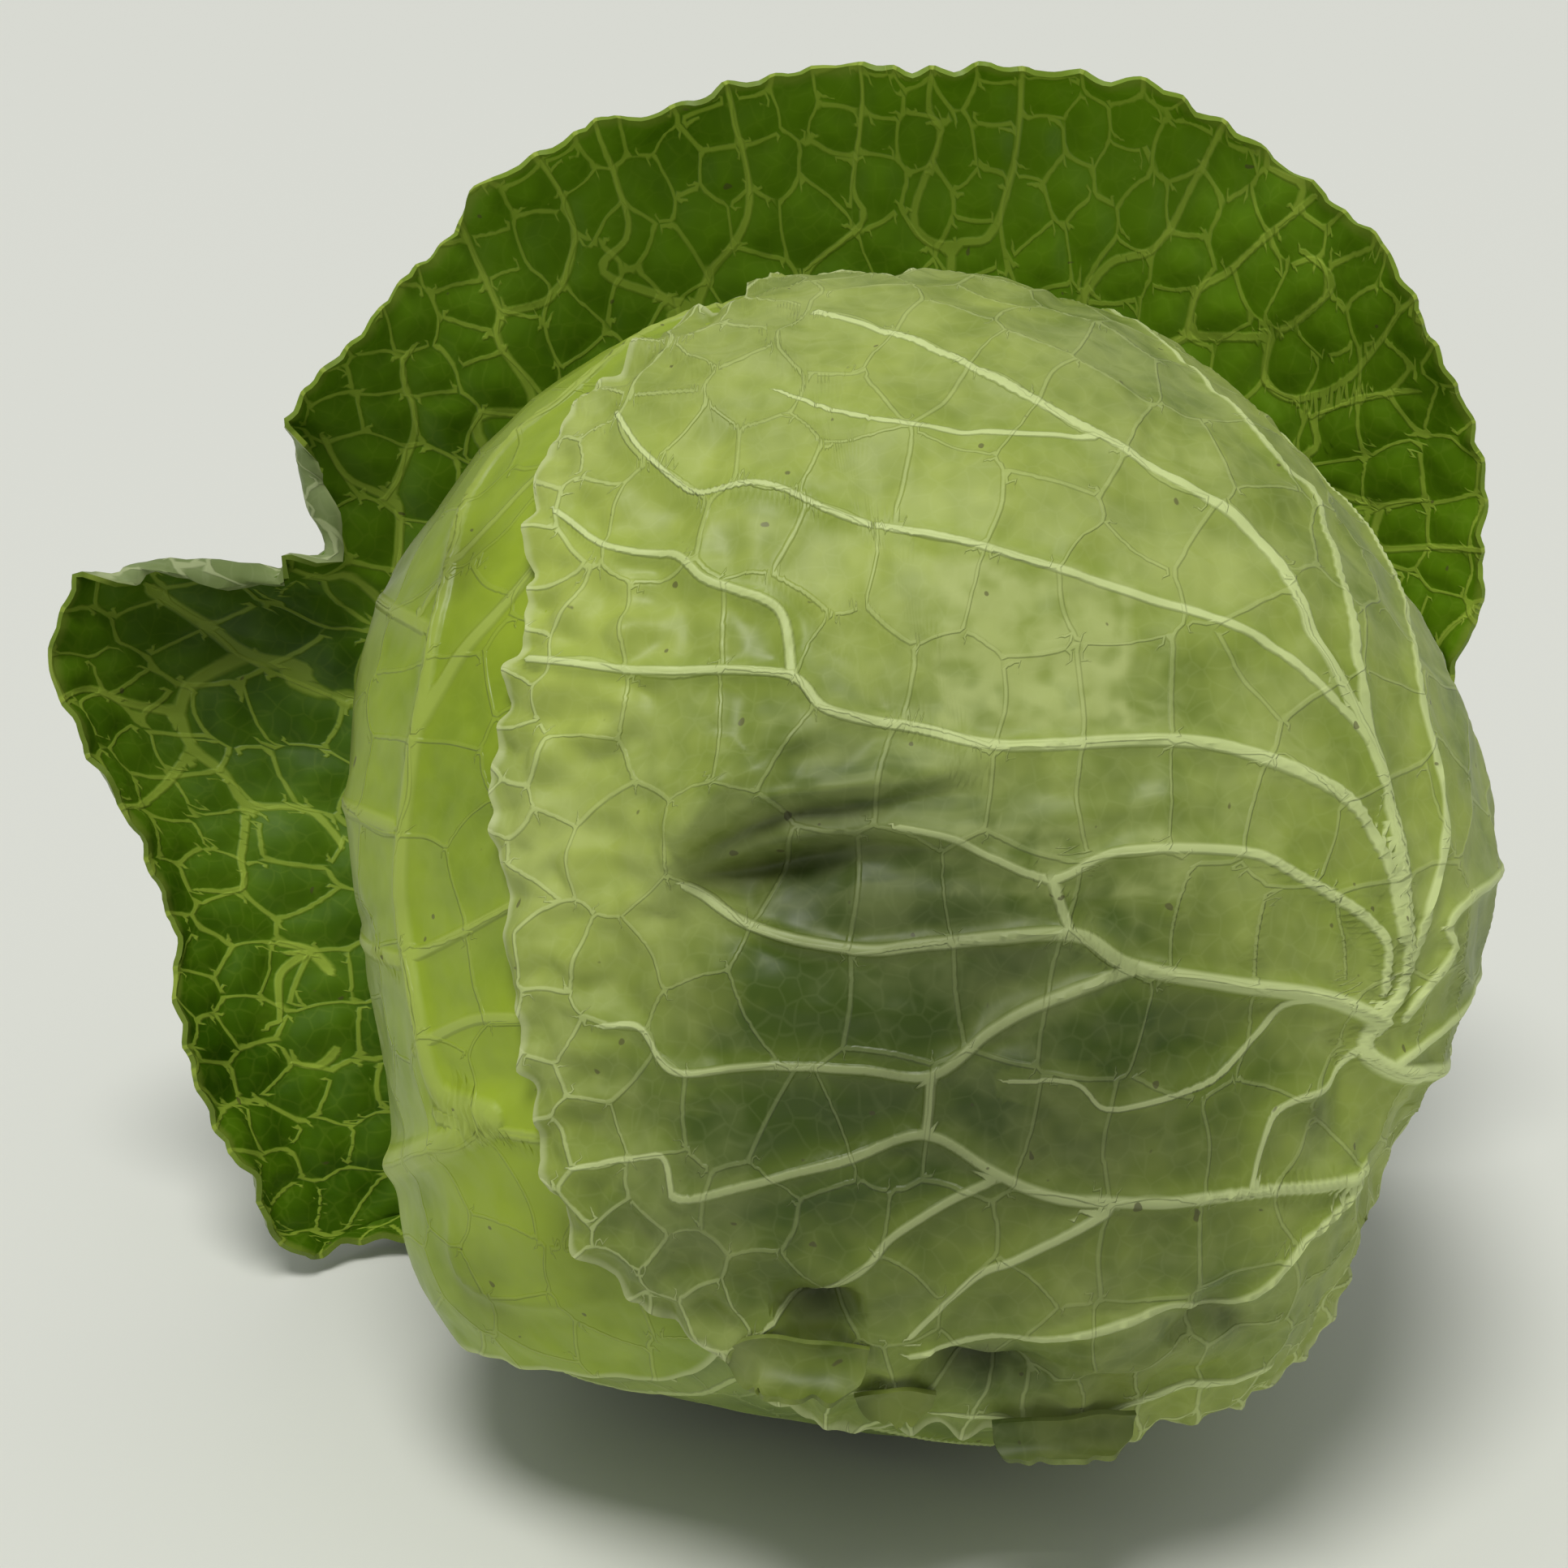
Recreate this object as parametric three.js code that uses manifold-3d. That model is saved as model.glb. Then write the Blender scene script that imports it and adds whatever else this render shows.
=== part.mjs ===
// A white cabbage as picked: a tight head in its wrapper leaves, lying on a small flat spot,
// with one big dark leaf standing open behind it. Millimetres, +Z up.
// The origin is the middle of the flat spot that the head rests on.
import * as THREE from "three";
import { mergeVertices } from "three/addons/utils/BufferGeometryUtils.js";
import Module from "manifold-3d";

// Driving dimensions
const centreHeight = 97; // middle of the head above the surface that it rests on
const faceTilt = 22; // degrees: the head's open face looks towards -Y and this far upwards
const halfWidth = 105; // the head's half sizes along its own right, up and face axes
const halfHeight = 107;
const halfDepth = 97;
const squareness = 2.4; // 2 is an ellipsoid, more is squarer
const leafPitch = 2.6; // from one wrapper leaf to the next
const leafThickness = 1.2;
const outerLeafThickness = 1.6;
const outerLeafGap = 2.6; // the open leaf lies this far outside the head where it touches it
const stemRadius = 13;
const stemClearance = 2; // free room round the stem in each leaf
const stemEnd = 92; // the cut end, from the middle of the head
const gridCells = 20; // of each wrapper leaf, across and along
const outerGridCells = 24;

const degrees = Math.PI / 180;
const centre = new THREE.Vector3(0, 0, centreHeight);
const rightAxis = new THREE.Vector3(1, 0, 0);
const upAxis = new THREE.Vector3(0, Math.sin(faceTilt * degrees), Math.cos(faceTilt * degrees));
const faceAxis = new THREE.Vector3(0, -Math.cos(faceTilt * degrees), Math.sin(faceTilt * degrees));

// Directions below are [right, up, towards the face], in the head's own axes.
const stemDirection = headDirection(0.8, -0.38, -0.46);
const dents = [
  { at: stemDirection, depth: 9, spread: 18 }, // the hollow round the stem
  { at: headDirection(0.86, -0.5, 0.15), depth: 17, spread: 24 }, // the side that the leaves grow from
  { at: headDirection(0.74, 0.64, 0.2), depth: 14, spread: 30 }, // the flatter shoulder
  { at: headDirection(-0.74, -0.66, 0.2), depth: -8, spread: 15 }, // the fuller corner across from it
  { at: headDirection(-0.95, -0.3, 0), depth: 6, spread: 22 },
  { at: headDirection(-0.3, -0.94, 0.1), depth: 6, spread: 20 },
];

function headDirection(right, up, face) {
  return new THREE.Vector3(right, up, face).normalize();
}

function clamp(value, low, high) {
  return Math.min(high, Math.max(low, value));
}

function smoothStep(t) {
  const s = clamp(t, 0, 1);
  return s * s * (3 - 2 * s);
}

// Distance from the middle of the head to one leaf layer, for a direction in the head's axes.
function headRadius(direction, layer) {
  const sum =
    (Math.abs(direction.x) / (halfWidth + layer)) ** squareness +
    (Math.abs(direction.y) / (halfHeight + layer)) ** squareness +
    (Math.abs(direction.z) / (halfDepth + layer)) ** squareness;
  let radius = sum ** (-1 / squareness);
  for (const dent of dents) {
    const angle = Math.acos(clamp(direction.dot(dent.at), -1, 1)) / degrees;
    radius -= dent.depth * Math.exp(-((angle / dent.spread) ** 2));
  }
  return radius;
}

// A point of the part from a direction in the head's axes and a distance from the middle of the head.
function place(direction, distance) {
  return centre
    .clone()
    .addScaledVector(rightAxis, direction.x * distance)
    .addScaledVector(upAxis, direction.y * distance)
    .addScaledVector(faceAxis, direction.z * distance);
}

// A closed smooth curve through [angle, value] pairs, as a function of the angle in degrees.
function roundCurve(pairs) {
  const count = pairs.length;
  const angleAt = (i) => pairs[((i % count) + count) % count][0] + 360 * Math.floor(i / count);
  const valueAt = (i) => pairs[((i % count) + count) % count][1];
  const slopeAt = (i) => (valueAt(i + 1) - valueAt(i - 1)) / (angleAt(i + 1) - angleAt(i - 1));
  return (angle) => {
    let turned = angle;
    while (turned < angleAt(0)) turned += 360;
    while (turned >= angleAt(0) + 360) turned -= 360;
    let i = 0;
    while (turned >= angleAt(i + 1)) i += 1;
    const span = angleAt(i + 1) - angleAt(i);
    const t = (turned - angleAt(i)) / span;
    const held = (2 * t ** 3 - 3 * t ** 2 + 1) * valueAt(i) + (3 * t ** 2 - 2 * t ** 3) * valueAt(i + 1);
    const bent = (t ** 3 - 2 * t ** 2 + t) * slopeAt(i) + (t ** 3 - t ** 2) * slopeAt(i + 1);
    return held + bent * span;
  };
}

// A square grid point, each way from -1 to 1, moved onto the unit disc: [distance, angle in degrees].
function squareToDisc(a, b) {
  if (a === 0 && b === 0) return [0, 0];
  const sideways = Math.abs(a) > Math.abs(b);
  const reach = sideways ? a : b;
  const angle = sideways ? 45 * (b / a) : 90 - 45 * (a / b);
  return reach >= 0 ? [reach, angle] : [-reach, angle + 180];
}

// The middle surface of a leaf. A leaf has a pole, the direction at the middle of its map, and a heading,
// the direction that is up on the map. Its outline is [angle, degrees from middle] pairs on that map,
// and a point's reach is its share of the way from the middle to that outline.
function leafPoint(leaf, reach, angle) {
  const edge = leaf.outlineAt(angle);
  const across = leaf.middle[0] + reach * edge * Math.cos(angle * degrees);
  const along = leaf.middle[1] + reach * edge * Math.sin(angle * degrees);
  const away = Math.hypot(across, along);
  const share = away > 0 ? Math.sin(away * degrees) / away : 0;
  const direction = leaf.pole
    .clone()
    .multiplyScalar(Math.cos(away * degrees))
    .addScaledVector(leaf.side, across * share)
    .addScaledVector(leaf.heading, along * share);
  const lift = leaf.liftAt(angle) * smoothStep((reach - leaf.liftFrom) / (1 - leaf.liftFrom)) ** 1.2;
  const point = place(direction, headRadius(direction, leaf.layer) + lift);
  point.z = Math.max(point.z, leaf.lowest);
  return point;
}

// The outward normal of the same surface, from short steps out along it and round it.
function leafNormal(leaf, reach, angle) {
  const from = Math.max(reach, 0.05);
  const out = leafPoint(leaf, from, angle).sub(leafPoint(leaf, from - 0.04, angle));
  const round = leafPoint(leaf, from, angle + 1).sub(leafPoint(leaf, from, angle - 1));
  return out.cross(round).normalize();
}

function leafSpec({ pole, heading, middle = [0, 0], outline, layer, lift = [[0, 0]], liftFrom = 0.6, lowest }) {
  const poleAxis = headDirection(...pole);
  const given = headDirection(...heading);
  const headingAxis = given.addScaledVector(poleAxis, -given.dot(poleAxis)).normalize();
  return {
    pole: poleAxis,
    heading: headingAxis,
    side: headingAxis.clone().cross(poleAxis),
    middle,
    layer,
    liftFrom,
    lowest,
    outlineAt: roundCurve(outline),
    liftAt: lift.length > 1 ? roundCurve(lift) : () => lift[0][1],
  };
}

// A leaf as one closed thin solid: its middle surface, thickened along its normals, with a rim.
function leafGeometry(leaf, thickness, cells) {
  const row = cells + 1;
  const down = new THREE.Vector3(0, 0, -1);
  const points = [];
  for (const side of [1, -1])
    for (let j = 0; j <= cells; j += 1)
      for (let i = 0; i <= cells; i += 1) {
        const [reach, angle] = squareToDisc((2 * i) / cells - 1, (2 * j) / cells - 1);
        const point = leafPoint(leaf, reach, angle);
        const flat = point.z <= leaf.lowest + 0.001;
        point.addScaledVector(flat ? down : leafNormal(leaf, reach, angle), (side * thickness) / 2);
        point.z = Math.max(point.z, leaf.lowest - thickness / 2);
        points.push(point.x, point.y, point.z);
      }
  const inside = row * row;
  const faces = [];
  for (let j = 0; j < cells; j += 1)
    for (let i = 0; i < cells; i += 1) {
      const a = j * row + i;
      const b = a + 1;
      const c = a + row + 1;
      const d = a + row;
      faces.push(a, b, c, a, c, d);
      faces.push(inside + a, inside + c, inside + b, inside + a, inside + d, inside + c);
    }
  const rim = [];
  for (let i = 0; i < cells; i += 1) rim.push(i);
  for (let j = 0; j < cells; j += 1) rim.push(j * row + cells);
  for (let i = cells; i > 0; i -= 1) rim.push(cells * row + i);
  for (let j = cells; j > 0; j -= 1) rim.push(j * row);
  rim.forEach((from, k) => {
    const to = rim[(k + 1) % rim.length];
    faces.push(from, inside + to, to, from, inside + from, inside + to);
  });
  return new THREE.BufferGeometry()
    .setAttribute("position", new THREE.BufferAttribute(new Float32Array(points), 3))
    .setIndex(faces);
}

// The tight heart of the head, inside every wrapper leaf, with a flat foot above the under leaf.
function heartGeometry(layer, lowest) {
  const ball = new THREE.SphereGeometry(1, 40, 28);
  const spots = ball.getAttribute("position");
  const direction = new THREE.Vector3();
  for (let i = 0; i < spots.count; i += 1) {
    direction.fromBufferAttribute(spots, i).normalize();
    const point = place(direction, headRadius(direction, layer));
    spots.setXYZ(i, point.x, point.y, Math.max(point.z, lowest));
  }
  return ball;
}

// A tapered round post along the stem's direction, between two distances from the middle of the head.
function stemGeometry(radius, from, to) {
  const post = new THREE.CylinderGeometry(radius, radius * 0.9, to - from, 28);
  const middle = place(stemDirection, (from + to) / 2);
  const axis = middle.clone().sub(centre).normalize();
  return post
    .applyQuaternion(new THREE.Quaternion().setFromUnitVectors(new THREE.Vector3(0, 1, 0), axis))
    .translate(middle.x, middle.y, middle.z);
}

// manifold-3d only cuts the room for the stem
const wasm = await Module();
wasm.setup();

function toSolid(geometry) {
  const bare = geometry.clone();
  bare.deleteAttribute("normal");
  bare.deleteAttribute("uv");
  const merged = mergeVertices(bare, 1e-4);
  return new wasm.Manifold(
    new wasm.Mesh({
      numProp: 3,
      vertProperties: merged.getAttribute("position").array,
      triVerts: new Uint32Array(merged.index.array),
    }),
  );
}

function toGeometry(solid) {
  const mesh = solid.getMesh();
  const geometry = new THREE.BufferGeometry()
    .setAttribute("position", new THREE.BufferAttribute(new Float32Array(mesh.vertProperties), 3))
    .setIndex(new THREE.BufferAttribute(mesh.triVerts, 1));
  geometry.computeVertexNormals();
  return geometry;
}

const stemRoom = toSolid(stemGeometry(stemRadius + stemClearance, 30, 200));

function clearOfStem(geometry) {
  const parts = toSolid(geometry).subtract(stemRoom).decompose();
  const largest = parts.reduce((best, part) => (part.volume() > best.volume() ? part : best));
  return toGeometry(largest);
}

const finishes = {
  waxyLeaf: new THREE.MeshStandardMaterial({ color: 0x8ea35c, roughness: 0.5, metalness: 0 }),
  yellowLeaf: new THREE.MeshStandardMaterial({ color: 0x93a83a, roughness: 0.4, metalness: 0 }),
  shadedLeaf: new THREE.MeshStandardMaterial({ color: 0x6f8a3f, roughness: 0.5, metalness: 0 }),
  darkLeaf: new THREE.MeshStandardMaterial({ color: 0x2c5410, roughness: 0.45, metalness: 0 }),
  paleHeart: new THREE.MeshStandardMaterial({ color: 0xb9c68a, roughness: 0.5, metalness: 0 }),
  cutStem: new THREE.MeshStandardMaterial({ color: 0xc9c79a, roughness: 0.7, metalness: 0 }),
};

function named(name, geometry, finish) {
  const mesh = new THREE.Mesh(geometry, finish);
  mesh.name = name;
  return mesh;
}

// Layers are counted inwards from the front leaf, and each lower layer stands one pitch higher off the floor.
const footOf = (step) => leafThickness / 2 + step * leafPitch;

const leaves = {
  // The cover leaf: its left half wraps the face, its right half the right side, with lobes by the stem.
  front_leaf: {
    pole: [0, 0, 1],
    heading: [0, 1, 0],
    middle: [5, 5],
    outline: [
      [-90, 63], [-72, 68], [-58, 73], [-46, 70], [-33, 70], [-22, 80], [-8, 94], [12, 101], [35, 98],
      [60, 90], [85, 80], [102, 78], [113, 66], [123, 56], [140, 50], [160, 47], [180, 47], [200, 47],
      [215, 49], [235, 55], [252, 58],
    ],
    layer: 0,
    lowest: 6,
  },
  // The leaf at the left, with a stout midrib up the left side of the head.
  side_leaf: {
    pole: [-0.94, 0.04, 0.34],
    heading: [0, 1, 0],
    outline: [
      [-90, 46], [-60, 45], [-30, 46], [0, 48], [40, 60], [65, 69], [90, 66], [115, 60], [150, 44],
      [180, 36], [215, 38], [245, 44],
    ],
    layer: -leafPitch,
    lowest: 6,
  },
  // The leaf below it, wrapping the bottom left.
  lower_leaf: {
    pole: [-0.55, -0.72, 0.42],
    heading: [0, 0.5, 0.86],
    outline: [
      [-90, 28], [-60, 34], [-30, 44], [0, 50], [45, 42], [90, 32], [135, 34], [180, 44], [220, 38],
    ],
    layer: -2 * leafPitch,
    lowest: 4,
  },
  // The leaf that the head lies on, under everything else.
  under_leaf: {
    pole: [0.12, -0.92, -0.36],
    heading: [0, 0, 1],
    outline: [
      [-90, 50], [-45, 60], [0, 72], [45, 70], [90, 66], [135, 68], [180, 74], [225, 62],
    ],
    layer: -4 * leafPitch,
    lowest: footOf(0),
  },
  back_leaf_right: {
    pole: [0.42, 0.42, -0.8],
    heading: [0, 1, 0],
    outline: [
      [-90, 46], [-45, 50], [0, 62], [45, 74], [90, 82], [135, 78], [180, 62], [225, 48],
    ],
    layer: -2 * leafPitch,
    lowest: 6,
  },
  back_leaf_left: {
    pole: [-0.76, 0.12, -0.64],
    heading: [0, 1, 0],
    outline: [
      [-90, 40], [-45, 44], [0, 60], [45, 64], [90, 76], [135, 66], [180, 58], [225, 50],
    ],
    layer: -3 * leafPitch,
    lowest: 6,
  },
};

// The big leaf that stands open behind the head. Its map is centred at the back, seen from behind.
const outerLeaf = {
  pole: [0, 0, -1],
  heading: [0, 1, 0],
  outline: [
    [-90, 40], [-60, 50], [-38, 66], [-22, 72], [-2, 74], [12, 76], [21, 75], [27, 70], [33, 74],
    [40, 75], [60, 76], [85, 77], [105, 77], [125, 76], [140, 74], [152, 70], [162, 66], [180, 54],
    [205, 57], [222, 50], [245, 40],
  ],
  layer: outerLeafGap,
  lift: [
    [-90, 0], [-60, 14], [-38, 36], [-22, 40], [-2, 46], [12, 66], [21, 59], [27, 33], [33, 43],
    [40, 42], [50, 41], [60, 45], [85, 46], [105, 50], [125, 40], [140, 30], [152, 18], [162, 8],
    [180, 0], [205, 0], [240, 0],
  ],
  liftFrom: 0.55,
  lowest: 5,
};

const cabbage = new THREE.Group();
cabbage.name = "cabbage";
cabbage.add(named("heart", clearOfStem(heartGeometry(-5 * leafPitch, footOf(1))), finishes.paleHeart));
cabbage.add(named("stem", stemGeometry(stemRadius, 31, stemEnd), finishes.cutStem));
const finishOf = {
  front_leaf: finishes.waxyLeaf,
  side_leaf: finishes.yellowLeaf,
  lower_leaf: finishes.shadedLeaf,
  under_leaf: finishes.shadedLeaf,
  back_leaf_right: finishes.waxyLeaf,
  back_leaf_left: finishes.shadedLeaf,
};
for (const [name, spec] of Object.entries(leaves)) {
  const geometry = leafGeometry(leafSpec(spec), leafThickness, gridCells);
  cabbage.add(named(name, clearOfStem(geometry), finishOf[name]));
}
const openLeaf = leafGeometry(leafSpec(outerLeaf), outerLeafThickness, outerGridCells);
cabbage.add(named("outer_leaf", clearOfStem(openLeaf), finishes.darkLeaf));

export default cabbage;
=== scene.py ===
import math
import bpy
import numpy as np
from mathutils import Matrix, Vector, kdtree, noise
from mathutils.geometry import delaunay_2d_cdt


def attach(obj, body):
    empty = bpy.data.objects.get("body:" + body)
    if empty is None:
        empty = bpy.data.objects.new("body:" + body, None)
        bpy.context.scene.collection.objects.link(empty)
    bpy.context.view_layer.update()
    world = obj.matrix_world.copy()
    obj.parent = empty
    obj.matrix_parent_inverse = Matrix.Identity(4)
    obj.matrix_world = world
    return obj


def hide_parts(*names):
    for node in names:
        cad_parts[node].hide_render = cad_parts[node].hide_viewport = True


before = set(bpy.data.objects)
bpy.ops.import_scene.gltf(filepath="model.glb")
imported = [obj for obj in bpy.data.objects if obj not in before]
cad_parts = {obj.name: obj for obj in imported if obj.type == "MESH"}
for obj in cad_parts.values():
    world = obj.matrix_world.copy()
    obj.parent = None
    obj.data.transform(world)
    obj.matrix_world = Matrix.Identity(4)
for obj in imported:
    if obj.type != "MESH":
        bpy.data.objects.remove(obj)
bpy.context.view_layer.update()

farOff = 50  # further, in millimetres or half widths, than any vein reaches
ridge = {"least": 1.1, "sharpness": 0.8, "search": 16}  # half width, fall to its sides, and reach in millimetres
perDegree = 1.85  # millimetres on the head for one degree of a leaf's map
tuck = {"depth": 6, "from": 0.97, "over": 0.1}  # how a leaf sinks where another covers it
# painted shade: the insides of the deepest folds are darkened in the colour, by this share
foldPaintedShade = {"deeper": -3.5, "share": 0.5}  # only folds below this height are dark inside

random = np.random.default_rng(7)

# the head's shape, in millimetres, in its own axes: right, up, towards its open face

head = {
    "centre": (0, 0, 97),
    "faceTilt": 22,  # degrees that the face looks upwards
    "halfSizes": (105, 107, 97),
    "squareness": 2.4,
    # direction, depth, spread in degrees
    "dents": [
        ((0.8, -0.38, -0.46), 9, 18),
        ((0.86, -0.5, 0.15), 17, 24),
        ((0.74, 0.64, 0.2), 14, 30),
        ((-0.74, -0.66, 0.2), -8, 15),
        ((-0.95, -0.3, 0), 6, 22),
        ((-0.3, -0.94, 0.1), 6, 20),
    ],
    "stem": (0.8, -0.38, -0.46),
}

view = {"right": -25.6, "up": 16, "away": 650, "width": 284.1}  # where the camera stands, from the head's middle

tilt = math.radians(head["faceTilt"])
headAxes = np.array([
    [1, 0, 0],
    [0, math.sin(tilt), math.cos(tilt)],
    [0, -math.cos(tilt), math.sin(tilt)],
])


def unit(vectors):
    vectors = np.asarray(vectors, float)
    return vectors / np.linalg.norm(vectors, axis=-1, keepdims=True)


def headRadius(direction, layer):
    halves = np.array(head["halfSizes"]) + layer
    radius = ((np.abs(direction) / halves) ** head["squareness"]).sum(-1) ** (-1 / head["squareness"])
    for towards, depth, spread in head["dents"]:
        angle = np.degrees(np.arccos(np.clip(direction @ unit(towards), -1, 1)))
        radius = radius - depth * np.exp(-((angle / spread) ** 2))
    return radius


def toPart(points):
    return np.array(head["centre"]) + points @ headAxes


def ease(t):
    t = np.clip(t, 0, 1)
    return t * t * (3 - 2 * t)


def waves(points, size, shift):
    return np.array([noise.noise(Vector(p)) for p in points / size + shift])


# a closed smooth curve through [angle, value] pairs
def roundCurve(pairs):
    angles = np.array([a for a, _ in pairs], float)
    values = np.array([v for _, v in pairs], float)
    spans = (np.roll(angles, -1) - angles) % 360
    slopes = (np.roll(values, -1) - np.roll(values, 1)) / (spans + np.roll(spans, 1))

    def curve(angle):
        turned = (angle - angles[0]) % 360 + angles[0]
        i = np.clip(np.searchsorted(angles, turned, side="right") - 1, 0, len(angles) - 1)
        j = (i + 1) % len(angles)
        t = (turned - angles[i]) / spans[i]
        held = (2 * t**3 - 3 * t**2 + 1) * values[i] + (3 * t**2 - 2 * t**3) * values[j]
        bent = (t**3 - 2 * t**2 + t) * slopes[i] + (t**3 - t**2) * slopes[j]
        return held + bent * spans[i]

    return curve


# an open smooth curve through a row of points, with a point every step
def smoothLine(points, step):
    points = np.asarray(points, float)
    points = np.vstack([2 * points[0] - points[1], points, 2 * points[-1] - points[-2]])
    line = []
    for a, b, c, d in zip(points, points[1:], points[2:], points[3:]):
        count = max(2, math.ceil(np.linalg.norm(c[:2] - b[:2]) / step))
        t = (np.arange(count) / count)[:, None]
        line.append(0.5 * (2 * b + (c - a) * t + (2 * a - 5 * b + 4 * c - d) * t**2 + (3 * b - a - 3 * c + d) * t**3))
    line.append(points[-2][None])
    return np.vstack(line)


# leaf maps: a leaf lies on the head round its pole, and places on it are degrees across and along from there

def prepareLeaf(leaf):
    leaf["poleAxis"] = unit(leaf["pole"])
    heading = unit(leaf["heading"])
    leaf["headingAxis"] = unit(heading - (heading @ leaf["poleAxis"]) * leaf["poleAxis"])
    leaf["sideAxis"] = np.cross(leaf["headingAxis"], leaf["poleAxis"])
    leaf["edgeAt"] = roundCurve(leaf["outline"])
    leaf["liftAt"] = roundCurve(leaf["lift"]) if "lift" in leaf else (lambda angle: 0 * angle)
    # where each place of the leaf appears from the front
    reach, angle = np.meshgrid(np.linspace(0.02, 1.04, 110), np.arange(0, 360, 2.0))
    spots = leafPlace(leaf, reach.ravel(), angle.ravel())
    points = leafSurface(leaf, spots)
    local = (points - np.array(head["centre"])) @ headAxes.T
    eye = np.array([view["right"], view["up"], view["away"]])
    facing = (leafNormals(leaf, spots) @ headAxes.T * (eye - local)).sum(-1) * leaf.get("seen", 1) > 0
    near = eye[2] / (eye[2] - local[:, 2])
    flat = eye[:2] + (local[:, :2] - eye[:2]) * near[:, None]
    leaf["spots"] = spots[facing]
    tree = kdtree.KDTree(int(facing.sum()))
    for i, p in enumerate(flat[facing]):
        tree.insert((p[0], p[1], 0), i)
    tree.balance()
    leaf["frontTree"] = tree


def leafPlace(leaf, reach, angle):
    edge = leaf["edgeAt"](angle) * reach
    turn = np.radians(angle)
    return np.stack([leaf["middle"][0] + edge * np.cos(turn), leaf["middle"][1] + edge * np.sin(turn)], -1)


def leafSurface(leaf, spots):
    fromMiddle = spots - np.array(leaf["middle"])
    angle = np.degrees(np.arctan2(fromMiddle[:, 1], fromMiddle[:, 0]))
    reach = np.hypot(fromMiddle[:, 0], fromMiddle[:, 1]) / leaf["edgeAt"](angle)
    away = np.hypot(spots[:, 0], spots[:, 1])
    share = np.sinc(away / 180) * math.pi / 180
    direction = (
        np.cos(np.radians(away))[:, None] * leaf["poleAxis"]
        + (spots[:, 0] * share)[:, None] * leaf["sideAxis"]
        + (spots[:, 1] * share)[:, None] * leaf["headingAxis"]
    )
    lift = 0
    if "lift" in leaf:
        lift = leaf["liftAt"](angle) * ease((reach - leaf["liftFrom"]) / (1 - leaf["liftFrom"])) ** 1.2
    points = toPart(direction * (headRadius(direction, leaf["layer"]) + lift)[:, None])
    points[:, 2] = np.maximum(points[:, 2], leaf["lowest"])
    return points


def leafNormals(leaf, spots):
    step = 0.4
    across = leafSurface(leaf, spots + [step, 0]) - leafSurface(leaf, spots - [step, 0])
    along = leafSurface(leaf, spots + [0, step]) - leafSurface(leaf, spots - [0, step])
    return unit(np.cross(across, along) + 1e-9)


# a drawn point is (right, up) in millimetres as seen from the front, or a direction (right, up, face) from the middle
def pinned(leaf, points):
    placed = []
    for point in points:
        if len(point) == 2:
            found = leaf["frontTree"].find_n((point[0], point[1], 0), 4)
            shares = np.array([1 / (f[2] + 0.05) for f in found])
            placed.append((shares[:, None] * leaf["spots"][[f[1] for f in found]]).sum(0) / shares.sum())
        else:
            direction = unit(point)
            away = math.degrees(math.acos(np.clip(direction @ leaf["poleAxis"], -1, 1)))
            flat = np.array([direction @ leaf["sideAxis"], direction @ leaf["headingAxis"]])
            placed.append(flat / max(np.linalg.norm(flat), 1e-6) * away)
    return np.array(placed)


# veins: each strand is a line on the map with half widths and heights in millimetres at its two ends

def strand(leaf, line, widths, heights):
    points = leafSurface(leaf, line)
    tangents = unit(np.gradient(points, axis=0) + 1e-9)
    t = np.linspace(0, 1, len(line))
    return {
        "spots": line, "points": points, "tangents": tangents,
        "widths": widths[0] + (widths[1] - widths[0]) * t,
        "heights": heights[0] + (heights[1] - heights[0]) * t,
    }


def drawnStrands(leaf, veins):
    strands = []
    for points, widths, heights in veins:
        line = smoothLine(pinned(leaf, points), 0.25)
        strands.append(strand(leaf, line, np.array(widths) * leaf.get("thin", 1), heights))
    return strands


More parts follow.
